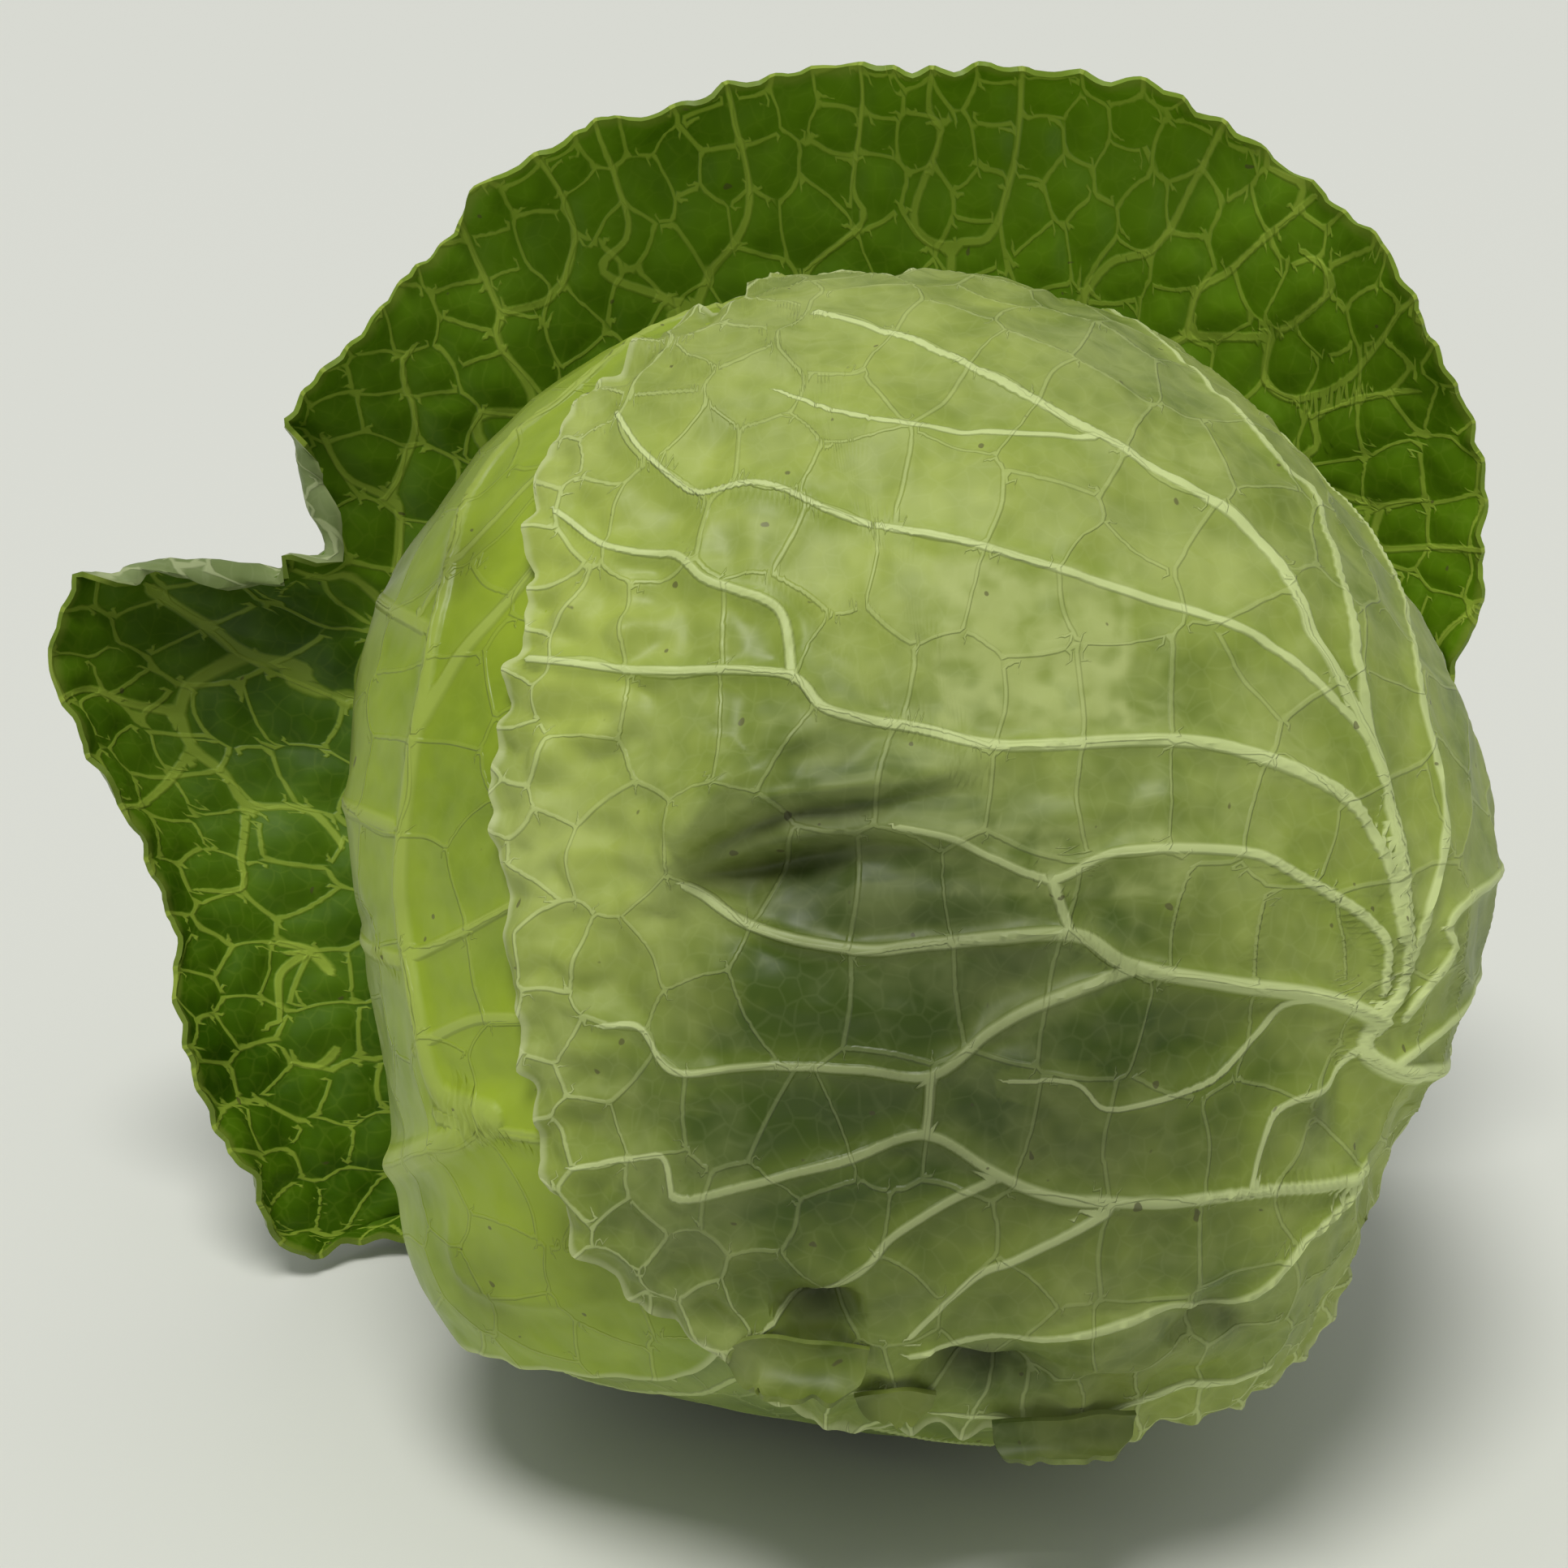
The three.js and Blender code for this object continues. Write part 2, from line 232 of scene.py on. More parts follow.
# cells between the veins, from seeds set in pairs beside each vein and then scattered in the open
def netStrands(leaf, strands, net):
    seeds, spots = [], []

    def cellSize(spot):
        fromMiddle = spot - np.array(leaf["middle"])
        angle = math.degrees(math.atan2(fromMiddle[1], fromMiddle[0]))
        reach = math.hypot(*fromMiddle) / float(leaf["edgeAt"](np.array([angle]))[0])
        return net["cell"] + (net["rimCell"] - net["cell"]) * float(ease(np.array((reach - 0.7) / 0.3)))

    def tryPair(pair, size):
        points = leafSurface(leaf, np.array(pair))
        if len(seeds) == 0 or np.linalg.norm(np.array(seeds)[:, None] - points[None], axis=2).min() > 0.7 * size:
            seeds.extend(points)
            spots.extend(pair)

    for s in strands:
        run = np.concatenate([[0], np.cumsum(np.linalg.norm(np.diff(s["points"], axis=0), axis=1))])
        place = 0.5 * net["cell"]
        while place < run[-1]:
            i = min(int(np.searchsorted(run, place)), len(run) - 2)
            size = cellSize(s["spots"][i])
            turned = s["spots"][i + 1] - s["spots"][i]
            offset = np.array([-turned[1], turned[0]]) / max(np.linalg.norm(turned), 1e-6) * size * 0.27
            tryPair([s["spots"][i] + offset, s["spots"][i] - offset], size)
            place += size * random.uniform(0.85, 1.25)
    for reach, angle in zip(np.sqrt(random.uniform(0, 1.15, net["tries"])), random.uniform(0, 360, net["tries"])):
        spot = leafPlace(leaf, np.array([reach]), np.array([angle]))[0]
        tryPair([spot], cellSize(spot) * 1.25)

    flat = [Vector(s) for s in spots]
    corners, _, triangles, *_ = delaunay_2d_cdt(flat, [], [], 0, 1e-6)
    corners = np.array([list(c) for c in corners])
    centres, sharing = [], {}
    for number, (i, j, k) in enumerate(triangles):
        a, b, c = corners[i], corners[j], corners[k]
        d = 2 * (a[0] * (b[1] - c[1]) + b[0] * (c[1] - a[1]) + c[0] * (a[1] - b[1]))
        if abs(d) < 1e-6:
            centres.append(None)
            continue
        aa, bb, cc = a @ a, b @ b, c @ c
        centres.append(np.array([
            (aa * (b[1] - c[1]) + bb * (c[1] - a[1]) + cc * (a[1] - b[1])) / d,
            (aa * (c[0] - b[0]) + bb * (a[0] - c[0]) + cc * (b[0] - a[0])) / d,
        ]))
        for pair in ((i, j), (j, k), (k, i)):
            sharing.setdefault(tuple(sorted(pair)), []).append(number)
    found = []
    for sides in sharing.values():
        if len(sides) != 2 or centres[sides[0]] is None or centres[sides[1]] is None:
            continue
        start, end = centres[sides[0]], centres[sides[1]]
        length = np.linalg.norm(end - start)
        if length < 0.15 or length > 25:
            continue
        fromMiddle = start - np.array(leaf["middle"])
        angle = np.degrees(np.arctan2(fromMiddle[1], fromMiddle[0]))
        if math.hypot(*fromMiddle) > 1.1 * float(leaf["edgeAt"](np.array([angle]))[0]):
            continue
        aside = np.array([start[1] - end[1], end[0] - start[0]]) * random.uniform(-0.09, 0.09)
        line = smoothLine([start, (start + end) / 2 + aside, end], 0.3)
        width = net["width"] * random.uniform(0.7, 1.25)
        found.append(strand(leaf, line, (width, width), (net["height"], net["height"])))
    return found


# the points near a bundle of strands, and for each one its nearest sample, its distance and the side that it is on
def nearestOn(points, normals, bundle):
    samples, tangents = (np.concatenate([s[key] for s in bundle]) for key in ("points", "tangents"))
    close = ((points > samples.min(0) - ridge["search"]) & (points < samples.max(0) + ridge["search"])).all(1)
    chosen = np.flatnonzero(close)
    tree = kdtree.KDTree(len(samples))
    for i, p in enumerate(samples):
        tree.insert(p, i)
    tree.balance()
    nearest = np.array([tree.find(points[i])[1] for i in chosen], int)
    apart = points[chosen] - samples[nearest]
    apart -= normals[chosen] * (apart * normals[chosen]).sum(-1, keepdims=True)
    hand = np.sign((np.cross(normals[chosen], tangents[nearest]) * apart).sum(-1) + 1e-9)
    return chosen, nearest, np.linalg.norm(apart, axis=1), hand


# for each point: distance to the closest strand over its half width, with and without its side, and how raised it is
def strandField(points, normals, bundles):
    side, near, away, ratios = (np.full(len(points), float(farOff)) for _ in range(4))
    raised = np.zeros(len(points))
    for bundle in bundles:
        chosen, nearest, distance, hand = nearestOn(points, normals, bundle)
        widths, heights = (np.concatenate([s[key] for s in bundle])[nearest] for key in ("widths", "heights"))
        ratio = distance / widths
        spread = distance / np.maximum(widths, ridge["least"])
        bump = heights * np.exp(-ridge["sharpness"] * spread**2)
        raised[chosen] = np.maximum(raised[chosen], bump)
        away[chosen] = np.minimum(away[chosen], distance)
        nearer = ratio < ratios[chosen]
        ratios[chosen[nearer]] = ratio[nearer]
        side[chosen[nearer]] = (hand * ratio)[nearer]
        near[chosen[nearer]] = spread[nearer]
    return side, near, raised, away


def foldHeight(points, normals, bundle, lean):
    height = np.zeros(len(points))
    chosen, nearest, distance, hand = nearestOn(points, normals, bundle)
    widths, heights = (np.concatenate([s[key] for s in bundle])[nearest] for key in ("widths", "heights"))
    along = nearest / (len(bundle[0]["points"]) - 1)
    taper = np.clip(4.4 * along * (1 - along), 0, 1) ** 0.6
    height[chosen] = heights * taper * np.exp(-((distance / widths * (1 + hand * lean)) ** 1.4))
    return height


def squareToDisc(a, b):
    reach = np.maximum(np.abs(a), np.abs(b))
    sideways = np.abs(a) > np.abs(b)
    lead = np.where(sideways, a, b)
    safe = np.where(np.abs(lead) < 1e-9, 1, lead)
    angle = np.where(sideways, 45 * b / safe, 90 - 45 * a / safe)
    return reach, np.where(lead >= 0, angle, angle + 180)


def setValues(mesh, name, values):
    attribute = mesh.attributes.new(name, "FLOAT", "POINT")
    attribute.data.foreach_set("value", np.asarray(values, np.float32))


# a surface with no veins of its own
def setPlain(mesh, toneAndPaintedLight, paintedShade):
    for label in ("rib", "branch", "net"):
        setValues(mesh, label + "Side", np.full(len(mesh.vertices), farOff))
        setValues(mesh, label + "Near", np.full(len(mesh.vertices), farOff))
    # one tone and one darkening for the whole piece: painted light and shade, with the piece's own tone
    for label, value in (("rim", farOff), ("toneAndPaintedLight", toneAndPaintedLight), ("scuffAndSheen", 0), ("paintedShade", paintedShade)):
        setValues(mesh, label, np.full(len(mesh.vertices), value))


def buildLeaf(name, leaf, materials):
    leaf.setdefault("middle", (0, 0))
    prepareLeaf(leaf)
    bpy.ops.object.select_all(action="DESELECT")
    bpy.ops.mesh.primitive_grid_add(x_subdivisions=leaf["cells"], y_subdivisions=leaf["cells"], size=2)
    piece = bpy.context.object
    piece.name = piece.data.name = name
    mesh = piece.data
    flat = np.empty(len(mesh.vertices) * 3)
    mesh.vertices.foreach_get("co", flat)
    flat = flat.reshape(-1, 3)
    reach, angle = squareToDisc(flat[:, 0], flat[:, 1])
    # the margin's small teeth and waves
    turn = np.radians(angle)
    ring = np.stack([np.cos(turn), np.sin(turn), 0 * turn], -1)
    edge = leaf["edgeAt"](angle)
    ripple = 0 * reach
    for size, depth in leaf["teeth"]:
        ripple += depth * waves(ring, size / edge.mean(), 3 + size)
    if "calm" in leaf:
        ripple *= 1 - 0.85 * np.exp(-((((angle - leaf["calm"] + 180) % 360 - 180) / 50) ** 2))
    spots = leafPlace(leaf, reach * (1 + ripple / edge * ease((reach - 0.7) / 0.3)), angle)
    points = leafSurface(leaf, spots)
    normals = leafNormals(leaf, spots)
    rim = (1 - reach) * edge * perDegree  # millimetres in from the margin

    local = (points - np.array(head["centre"])) @ headAxes.T
    near = view["away"] / (view["away"] - local[:, 2])
    seenAt = np.array([view["right"], view["up"]]) * (1 - near[:, None]) + local[:, :2] * near[:, None]

    ribs = drawnStrands(leaf, leaf.get("ribs", []))
    branches = drawnStrands(leaf, leaf.get("branches", []))
    cells = netStrands(leaf, ribs + branches, leaf["net"])
    fields = [
        strandField(points, normals, bundles) for bundles in ([[s] for s in ribs], [[s] for s in branches], [cells])
    ]
    height = leaf["raise"] * np.maximum(fields[0][2], fields[1][2])
    netFade = np.exp(-(fields[0][1] ** 2) / 2) + np.exp(-(fields[1][1] ** 2) / 2)
    height = height + fields[2][2] * np.clip(1 - netFade, 0, 1)
    closest = np.minimum(np.minimum(fields[0][3], fields[1][3]), fields[2][3])
    puffed = 1 - np.exp(-((closest / leaf["puff"]["size"]) ** 2))
    rimGain = 1 + leaf["puff"]["rimGain"] * np.exp(-rim / leaf["puff"]["rimBand"])
    height -= leaf["puff"]["depth"] * puffed * rimGain
    for size, depth, shift in leaf["swell"]:
        height += depth * waves(points, size, shift)
    for middle, half, along, across, depth, shift in leaf.get("wrinkles", []):
        off = np.hypot((seenAt[:, 0] - middle[0]) / half[0], (seenAt[:, 1] - middle[1]) / half[1])
        stretched = np.stack([seenAt[:, 0] / along, seenAt[:, 1] / across, 0 * off], -1)
        height += depth * waves(stretched, 1, shift) * ease((1 - off) / 0.4) * (local[:, 2] > 0)
    for size, depth, shift in leaf.get("creases", []):
        height -= depth * np.exp(-((waves(points, size, shift) / 0.13) ** 2))
    toneAndPaintedLight, scuffAndSheen, paintedShade = 0 * rim, 0 * rim, 1 + 0 * rim
    # pale patches of rubbed wax bloom, laid where a sheen shows: partly a painted sheen
    for middle, half, amount in leaf.get("scuffsAndSheen", []):
        off = (np.abs(seenAt - np.array(middle)) / half).max(1) + 0.2 * waves(points, 6, 61)
        scuffAndSheen = np.maximum(scuffAndSheen, amount * ease((1 - off) / 0.15) * (local[:, 2] > 0))
    # painted light and shade: colour lightened or darkened round given spots, with some of the leaf's own tone
    for spot, radius, value in leaf.get("tonesAndPaintedLight", []):
        where = leafSurface(leaf, pinned(leaf, [spot]))[0]
        toneAndPaintedLight += value * np.exp(-((np.linalg.norm(points - where, axis=1) / radius) ** 2))
    # painted shade: the colour is darkened round given spots where shade falls
    for spot, radius, share in leaf.get("paintedShades", []):
        where = leafSurface(leaf, pinned(leaf, [spot]))[0]
        paintedShade *= 1 - share * np.exp(-((np.linalg.norm(points - where, axis=1) / radius) ** 2))
    for line, widths, heights, lean in leaf.get("folds", []):
        one = drawnStrands(leaf, [(line, np.array(widths) / leaf.get("thin", 1), heights)])
        fold = foldHeight(points, normals, one, lean)
        height += fold
        # painted shade: the insides of deep folds are darkened
        if fold.min() < foldPaintedShade["deeper"]:
            paintedShade *= 1 - foldPaintedShade["share"] * np.clip(fold / fold.min(), 0, 1) ** 2
    if "under" in leaf:  # sinks where another leaf covers it
        cover = leaf["under"]
        direction = unit(local)
        away = np.degrees(np.arccos(np.clip(direction @ cover["poleAxis"], -1, 1)))
        flatSpot = np.stack([direction @ cover["sideAxis"], direction @ cover["headingAxis"]], -1)
        flatSpot = unit(flatSpot + 1e-9) * away[:, None] - np.array(cover["middle"])
        covered = np.hypot(flatSpot[:, 0], flatSpot[:, 1])
        covered = covered / cover["edgeAt"](np.degrees(np.arctan2(flatSpot[:, 1], flatSpot[:, 0])))
        height -= tuck["depth"] * ease((tuck["from"] - covered) / tuck["over"])
    # the margin stands off a little and waves
    frill = leaf["frill"]
    atRim = np.exp(-rim / frill["band"])
    wide = frill["depth"] * waves(points, frill["size"], 21)
    small = 0.4 * frill["depth"] * waves(points, frill["size"] / 2.5, 33)
    height += atRim * (frill["lift"] + wide + small)
    points = points + normals * height[:, None]

    # a rolled stretch of the margin: angle, half angle, millimetres rolled, roll radius, side
    for at, half, rolled, radius, sideways in leaf.get("rolls", []):
        apart = np.abs((angle - at + 180) % 360 - 180)
        amount = ease((half - apart) / (0.35 * half)) * rolled
        past = np.clip(amount - rim, 0, None)
        inner, there = (leafSurface(leaf, leafPlace(leaf, reach * share, angle)) for share in (0.9, 1))
        inward = unit(inner - there + 1e-9)
        turnBy = past / radius
        shift = inward * (past - radius * np.sin(turnBy))[:, None]
        shift = shift + normals * (sideways * radius * (1 - np.cos(turnBy)))[:, None]
        points = np.where((past > 0)[:, None], points + shift, points)
    points[:, 2] = np.maximum(points[:, 2], leaf["lowest"])

    mesh.vertices.foreach_set("co", (points * 0.001).ravel())
    mesh.update()
    for label, field in zip(("rib", "branch", "net"), fields):
        setValues(mesh, label + "Side", field[0])
        setValues(mesh, label + "Near", field[1])
    for label, values in (("rim", rim), ("toneAndPaintedLight", toneAndPaintedLight), ("scuffAndSheen", scuffAndSheen), ("paintedShade", paintedShade)):
        setValues(mesh, label, values)
    for material in materials:
        mesh.materials.append(material)
    shell = piece.modifiers.new("thickness", "SOLIDIFY")
    shell.thickness = leaf["thickness"] * 0.001
    shell.offset = -1
    shell.material_offset = len(materials) - 1
    shell.material_offset_rim = len(materials) - 1
    bpy.context.view_layer.objects.active = piece
    bpy.ops.object.modifier_apply(modifier="thickness")
    bpy.ops.object.shade_smooth_by_angle(angle=math.radians(60))
    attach(piece, "root")
    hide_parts(name)
    print("built", name, len(mesh.polygons), "faces")


# materials

def put(tree, kind, sockets=None, **settings):
    made = tree.nodes.new(kind)
    for key, value in settings.items():
        setattr(made, key, value)
    for key, value in (sockets or {}).items():
        if isinstance(value, bpy.types.NodeSocket):
            tree.links.new(value, made.inputs[key])
        else:
            made.inputs[key].default_value = value
    return made


def calc(tree, operation, a, b=0.0, c=0.0):
    return put(tree, "ShaderNodeMath", {0: a, 1: b, 2: c}, operation=operation).outputs[0]


def ramp(tree, value, low, high, first=0.0, last=1.0):
    sockets = {"Value": value, "From Min": low, "From Max": high, "To Min": first, "To Max": last}
    return put(tree, "ShaderNodeMapRange", sockets, interpolation_type="SMOOTHSTEP").outputs[0]


def blendColour(tree, share, a, b):
    return put(tree, "ShaderNodeMix", {0: share, 6: a, 7: b}, data_type="RGBA").outputs[2]


def makeGroup(name, inputs, outputs):
    group = bpy.data.node_groups.new(name, "ShaderNodeTree")
    for label, kind, value in inputs:
        socket = group.interface.new_socket(label, in_out="INPUT", socket_type="NodeSocket" + kind)
        if value is not None:
            socket.default_value = value
    for label in outputs:
        group.interface.new_socket(label, in_out="OUTPUT", socket_type="NodeSocketFloat")
    return group, group.nodes.new("NodeGroupInput").outputs, group.nodes.new("NodeGroupOutput").inputs


def makeVeinLine():
    group, given, made = makeGroup(
        "veinLine",
        [("Side", "Float", 0.0), ("Near", "Float", 0.0), ("Soft", "Float", 0.35), ("Halo Reach", "Float", 4.0)],
        ["Line", "Halo"],
    )
    low = calc(group, "SUBTRACT", 1.0, given["Soft"])
    high = calc(group, "ADD", 1.0, given["Soft"])
    line = ramp(group, calc(group, "ABSOLUTE", given["Side"]), low, high, 1.0, 0.0)
    close = ramp(group, given["Near"], 1.2, 1.8, 1.0, 0.0)
    group.links.new(calc(group, "MULTIPLY", line, close), made["Line"])
    group.links.new(ramp(group, given["Near"], 0.5, given["Halo Reach"], 1.0, 0.0), made["Halo"])
    return group


def makeFineNet():
    group, given, made = makeGroup(
        "fineNet",
        [("Vector", "Vector", None), ("Cells per metre", "Float", 280.0), ("Line", "Float", 0.06),
         ("Wobble", "Float", 0.002)],
        ["Mask"],
    )
    drift = put(group, "ShaderNodeTexNoise", {"Vector": given["Vector"], "Scale": 160.0, "Detail": 0.0})
    centred = put(group, "ShaderNodeVectorMath", {0: drift.outputs["Color"], 1: (0.5, 0.5, 0.5)},
                  operation="SUBTRACT")
    scaled = put(group, "ShaderNodeVectorMath", {0: centred.outputs[0], "Scale": given["Wobble"]}, operation="SCALE")
    moved = put(group, "ShaderNodeVectorMath", {0: given["Vector"], 1: scaled.outputs[0]}, operation="ADD")
    web = put(group, "ShaderNodeTexVoronoi", {"Vector": moved.outputs[0], "Scale": given["Cells per metre"]},
              feature="DISTANCE_TO_EDGE")
    group.links.new(ramp(group, web.outputs["Distance"], 0.0, given["Line"], 1.0, 0.0), made["Mask"])
    return group


def makeBloom():
    group, given, made = makeGroup(
        "waxBloom",
        [("Vector", "Vector", None), ("Amount", "Float", 0.5), ("Rubbed", "Float", 0.5)],
        ["Mask"],
    )
    patch = put(group, "ShaderNodeTexNoise",
                {"Vector": given["Vector"], "Scale": 28.0, "Detail": 4.0, "Roughness": 0.7})
    stretched = put(group, "ShaderNodeMapping",
                    {0: given["Vector"], "Rotation": (0.4, 0.3, 0.9), "Scale": (30.0, 300.0, 120.0)})
    scratch = put(group, "ShaderNodeTexNoise", {"Vector": stretched.outputs[0], "Scale": 1.0, "Detail": 2.0})
    wide = ramp(group, patch.outputs[0], 0.42, 0.68)
    rubbed = calc(group, "MULTIPLY", ramp(group, scratch.outputs[0], 0.55, 0.7), given["Rubbed"])
    whole = calc(group, "MULTIPLY", wide, calc(group, "SUBTRACT", 1.0, rubbed))
    group.links.new(calc(group, "MULTIPLY", whole, given["Amount"]), made["Mask"])
    return group


def makeSpecks():
    group, given, made = makeGroup(
        "specks", [("Vector", "Vector", None), ("Per metre", "Float", 90.0), ("Share", "Float", 0.1)], ["Mask"]
    )
    dots = put(group, "ShaderNodeTexNoise", {"Vector": given["Vector"], "Scale": given["Per metre"], "Detail": 0.0})
    low = calc(group, "SUBTRACT", 0.8, given["Share"])
    high = calc(group, "ADD", low, 0.03)
    group.links.new(ramp(group, dots.outputs[0], low, high), made["Mask"])
    return group


def makeLeafDrift():
    group, given, made = makeGroup("leafDrift", [("Vector", "Vector", None)], ["Drift", "Mottle"])
    drift = put(group, "ShaderNodeTexNoise",
                {"Vector": given["Vector"], "Scale": 22.0, "Detail": 2.0, "Roughness": 0.6})
    mottle = put(group, "ShaderNodeTexNoise", {"Vector": given["Vector"], "Scale": 210.0, "Detail": 1.0})
    group.links.new(drift.outputs[0], made["Drift"])
    group.links.new(mottle.outputs[0], made["Mottle"])
    return group


groups = {
    "veinLine": makeVeinLine(), "fineNet": makeFineNet(), "waxBloom": makeBloom(), "specks": makeSpecks(),
    "leafDrift": makeLeafDrift(),
}
socketLabels = {"haloReach": "Halo Reach", "cells": "Cells per metre", "often": "Per metre"}


def use(tree, name, **sockets):
    made = put(tree, "ShaderNodeGroup", node_tree=groups[name])
    for key, value in sockets.items():
        label = socketLabels.get(key, key.capitalize())
        if isinstance(value, bpy.types.NodeSocket):
            tree.links.new(value, made.inputs[label])
        else:
            made.inputs[label].default_value = value
    return made.outputs


def colour(values):
    return (*values, 1.0)


def leafMaterial(name, look):
    material = bpy.data.materials.new(name)
    material.use_nodes = True
    tree = material.node_tree
    surface = tree.nodes["Principled BSDF"]
    place = put(tree, "ShaderNodeTexCoord").outputs["Object"]

    def value(attribute):
        return put(tree, "ShaderNodeAttribute", attribute_name=attribute).outputs["Fac"]

    def vein(kind, soft, haloReach):
        return use(tree, "veinLine", side=value(kind + "Side"), near=value(kind + "Near"), soft=soft, haloReach=haloReach)

    rib = vein("rib", 0.3, look["haloReach"])
    branch = vein("branch", 0.4, look["haloReach"] * 1.6)
    net = vein("net", 0.5, 6.0)
    fine = use(tree, "fineNet", vector=place, cells=look["fineCells"], line=0.09, wobble=0.003)

    noises = use(tree, "leafDrift", vector=place)
    drift, mottle = noises["Drift"], noises["Mottle"]
    drifted = calc(tree, "MULTIPLY", ramp(tree, drift, 0.3, 0.7, -0.5, 0.5), look["drift"])
    mixed = calc(tree, "ADD", drifted, look["level"])
    mixed = calc(tree, "ADD", mixed, ramp(tree, mottle, 0.25, 0.75, -0.09, 0.09))
    # painted light and shade from the per-point tone, with the leaf's own tone
    mixed = calc(tree, "ADD", mixed, value("toneAndPaintedLight"))
    mixed = put(tree, "ShaderNodeClamp", {0: mixed}).outputs[0]
    base = blendColour(tree, mixed, colour(look["deep"]), colour(look["light"]))
    veined = calc(tree, "MAXIMUM", rib["Line"], branch["Line"])
    between = calc(tree, "SUBTRACT", 1.0, veined)
    fineShare = calc(tree, "MULTIPLY", calc(tree, "MULTIPLY", fine["Mask"], look["fine"]), between)
    base = blendColour(tree, fineShare, base, colour(look["vein"]))
    halo = calc(tree, "MAXIMUM", rib["Halo"], branch["Halo"])
    base = blendColour(tree, calc(tree, "MULTIPLY", halo, look["haloShare"]), base, colour(look["halo"]))
    netShare = calc(tree, "ADD", look["netShare"], ramp(tree, value("rim"), 0.0, 26.0, look["rimNet"], 0.0))
    base = blendColour(tree, calc(tree, "MULTIPLY", net["Line"], netShare), base, colour(look["vein"]))
    bloom = use(tree, "waxBloom", vector=place, amount=look["bloom"], rubbed=0.6)["Mask"]
    # the scuff patches add to the wax bloom: partly a painted sheen
    bloom = calc(tree, "ADD", bloom, calc(tree, "MULTIPLY", value("scuffAndSheen"), ramp(tree, mottle, 0.3, 0.6, 0.1, 0.6)))
    base = blendColour(tree, bloom, base, colour(look["bloomAndSheenColour"]))
    veinShare = calc(tree, "MULTIPLY", look["veinShare"], ramp(tree, drift, 0.35, 0.65, 0.75, 1.0))
    base = blendColour(tree, calc(tree, "MULTIPLY", veined, veinShare), base, colour(look["vein"]))
    spots = use(tree, "specks", vector=place, often=420.0, share=look["specks"])["Mask"]
    base = blendColour(tree, calc(tree, "MULTIPLY", spots, 0.7), base, colour(look["speckColour"]))
    edge = ramp(tree, value("rim"), 0.3, 1.6, 1.0, 0.0)
    base = blendColour(tree, calc(tree, "MULTIPLY", edge, look["rimShare"]), base, colour(look["rim"]))
    # painted shade: the colour is scaled down by the per-point darkening
    paintedShadeColour = put(tree, "ShaderNodeVectorMath", {0: base, "Scale": value("paintedShade")}, operation="SCALE").outputs[0]
    tree.links.new(paintedShadeColour, surface.inputs["Base Color"])

    gloss = ramp(tree, drift, 0.3, 0.7, look["rough"][0], look["rough"][1])
    gloss = calc(tree, "ADD", gloss, calc(tree, "MULTIPLY", bloom, 0.25))
    gloss = calc(tree, "ADD", gloss, calc(tree, "MULTIPLY", veined, 0.06))
    tree.links.new(gloss, surface.inputs["Roughness"])
    relief = calc(tree, "MULTIPLY", net["Line"], 0.8)
    relief = calc(tree, "ADD", relief, calc(tree, "MULTIPLY", veined, 1.2))
    relief = calc(tree, "ADD", relief, calc(tree, "MULTIPLY", mottle, 0.9))
    bump = put(tree, "ShaderNodeBump", {"Height": relief, "Strength": look["bump"], "Distance": 0.0004})
    tree.links.new(bump.outputs[0], surface.inputs["Normal"])
    surface.inputs["Specular IOR Level"].default_value = look["shine"]
    return material


waxyLook = {
    "deep": (0.07, 0.125, 0.004), "light": (0.41, 0.495, 0.09), "level": 0.5, "drift": 0.5,
    "vein": (0.68, 0.78, 0.34), "veinShare": 0.9, "halo": (0.3, 0.4, 0.05), "haloShare": 0.35, "haloReach": 3.5,
    "netShare": 0.2, "rimNet": 0.3, "fine": 0.05, "fineCells": 260.0,
    "bloom": 0.4, "bloomAndSheenColour": (0.47, 0.54, 0.19), "specks": -0.04, "speckColour": (0.1, 0.09, 0.03),
    "rim": (0.6, 0.66, 0.34), "rimShare": 0.5, "rough": (0.4, 0.56), "bump": 0.7, "shine": 0.36,
}
yellowLook = dict(
    waxyLook, deep=(0.14, 0.22, 0.008), light=(0.34, 0.46, 0.022), vein=(0.38, 0.48, 0.08), halo=(0.3, 0.4, 0.03),
    haloShare=0.4, bloom=0.12, netShare=0.2, fine=0.05, rough=(0.3, 0.42),
)
shadedLook = dict(
    waxyLook, deep=(0.09, 0.14, 0.018), light=(0.26, 0.34, 0.08), vein=(0.45, 0.54, 0.2), bloom=0.2, level=0.5,
)
# a darker copy for the back left leaf, which sits in shade: painted shade
deepShadeLook = dict(shadedLook, deep=(0.04, 0.075, 0.004), light=(0.1, 0.16, 0.015), vein=(0.28, 0.36, 0.08), bloom=0.1)
darkLook = dict(
    waxyLook, deep=(0.035, 0.095, 0.0005), light=(0.15, 0.3, 0.004), level=0.38, drift=0.5, vein=(0.4, 0.54, 0.06),
    veinShare=0.8, halo=(0.13, 0.25, 0.006), haloShare=0.45, haloReach=3.0, netShare=0.6, rimNet=0.1, fine=0.07,
    fineCells=240.0, bloom=0.0, bloomAndSheenColour=(0.2, 0.26, 0.08), rim=(0.24, 0.3, 0.04), rimShare=0.5, rough=(0.4, 0.55),
    bump=0.5, shine=0.22,
)
underLook = dict(
    darkLook, deep=(0.13, 0.19, 0.04), light=(0.28, 0.36, 0.13), vein=(0.55, 0.62, 0.32), halo=(0.28, 0.36, 0.12),
    bloom=0.3, bloomAndSheenColour=(0.42, 0.48, 0.28), netShare=0.6, rim=(0.36, 0.42, 0.18),
)

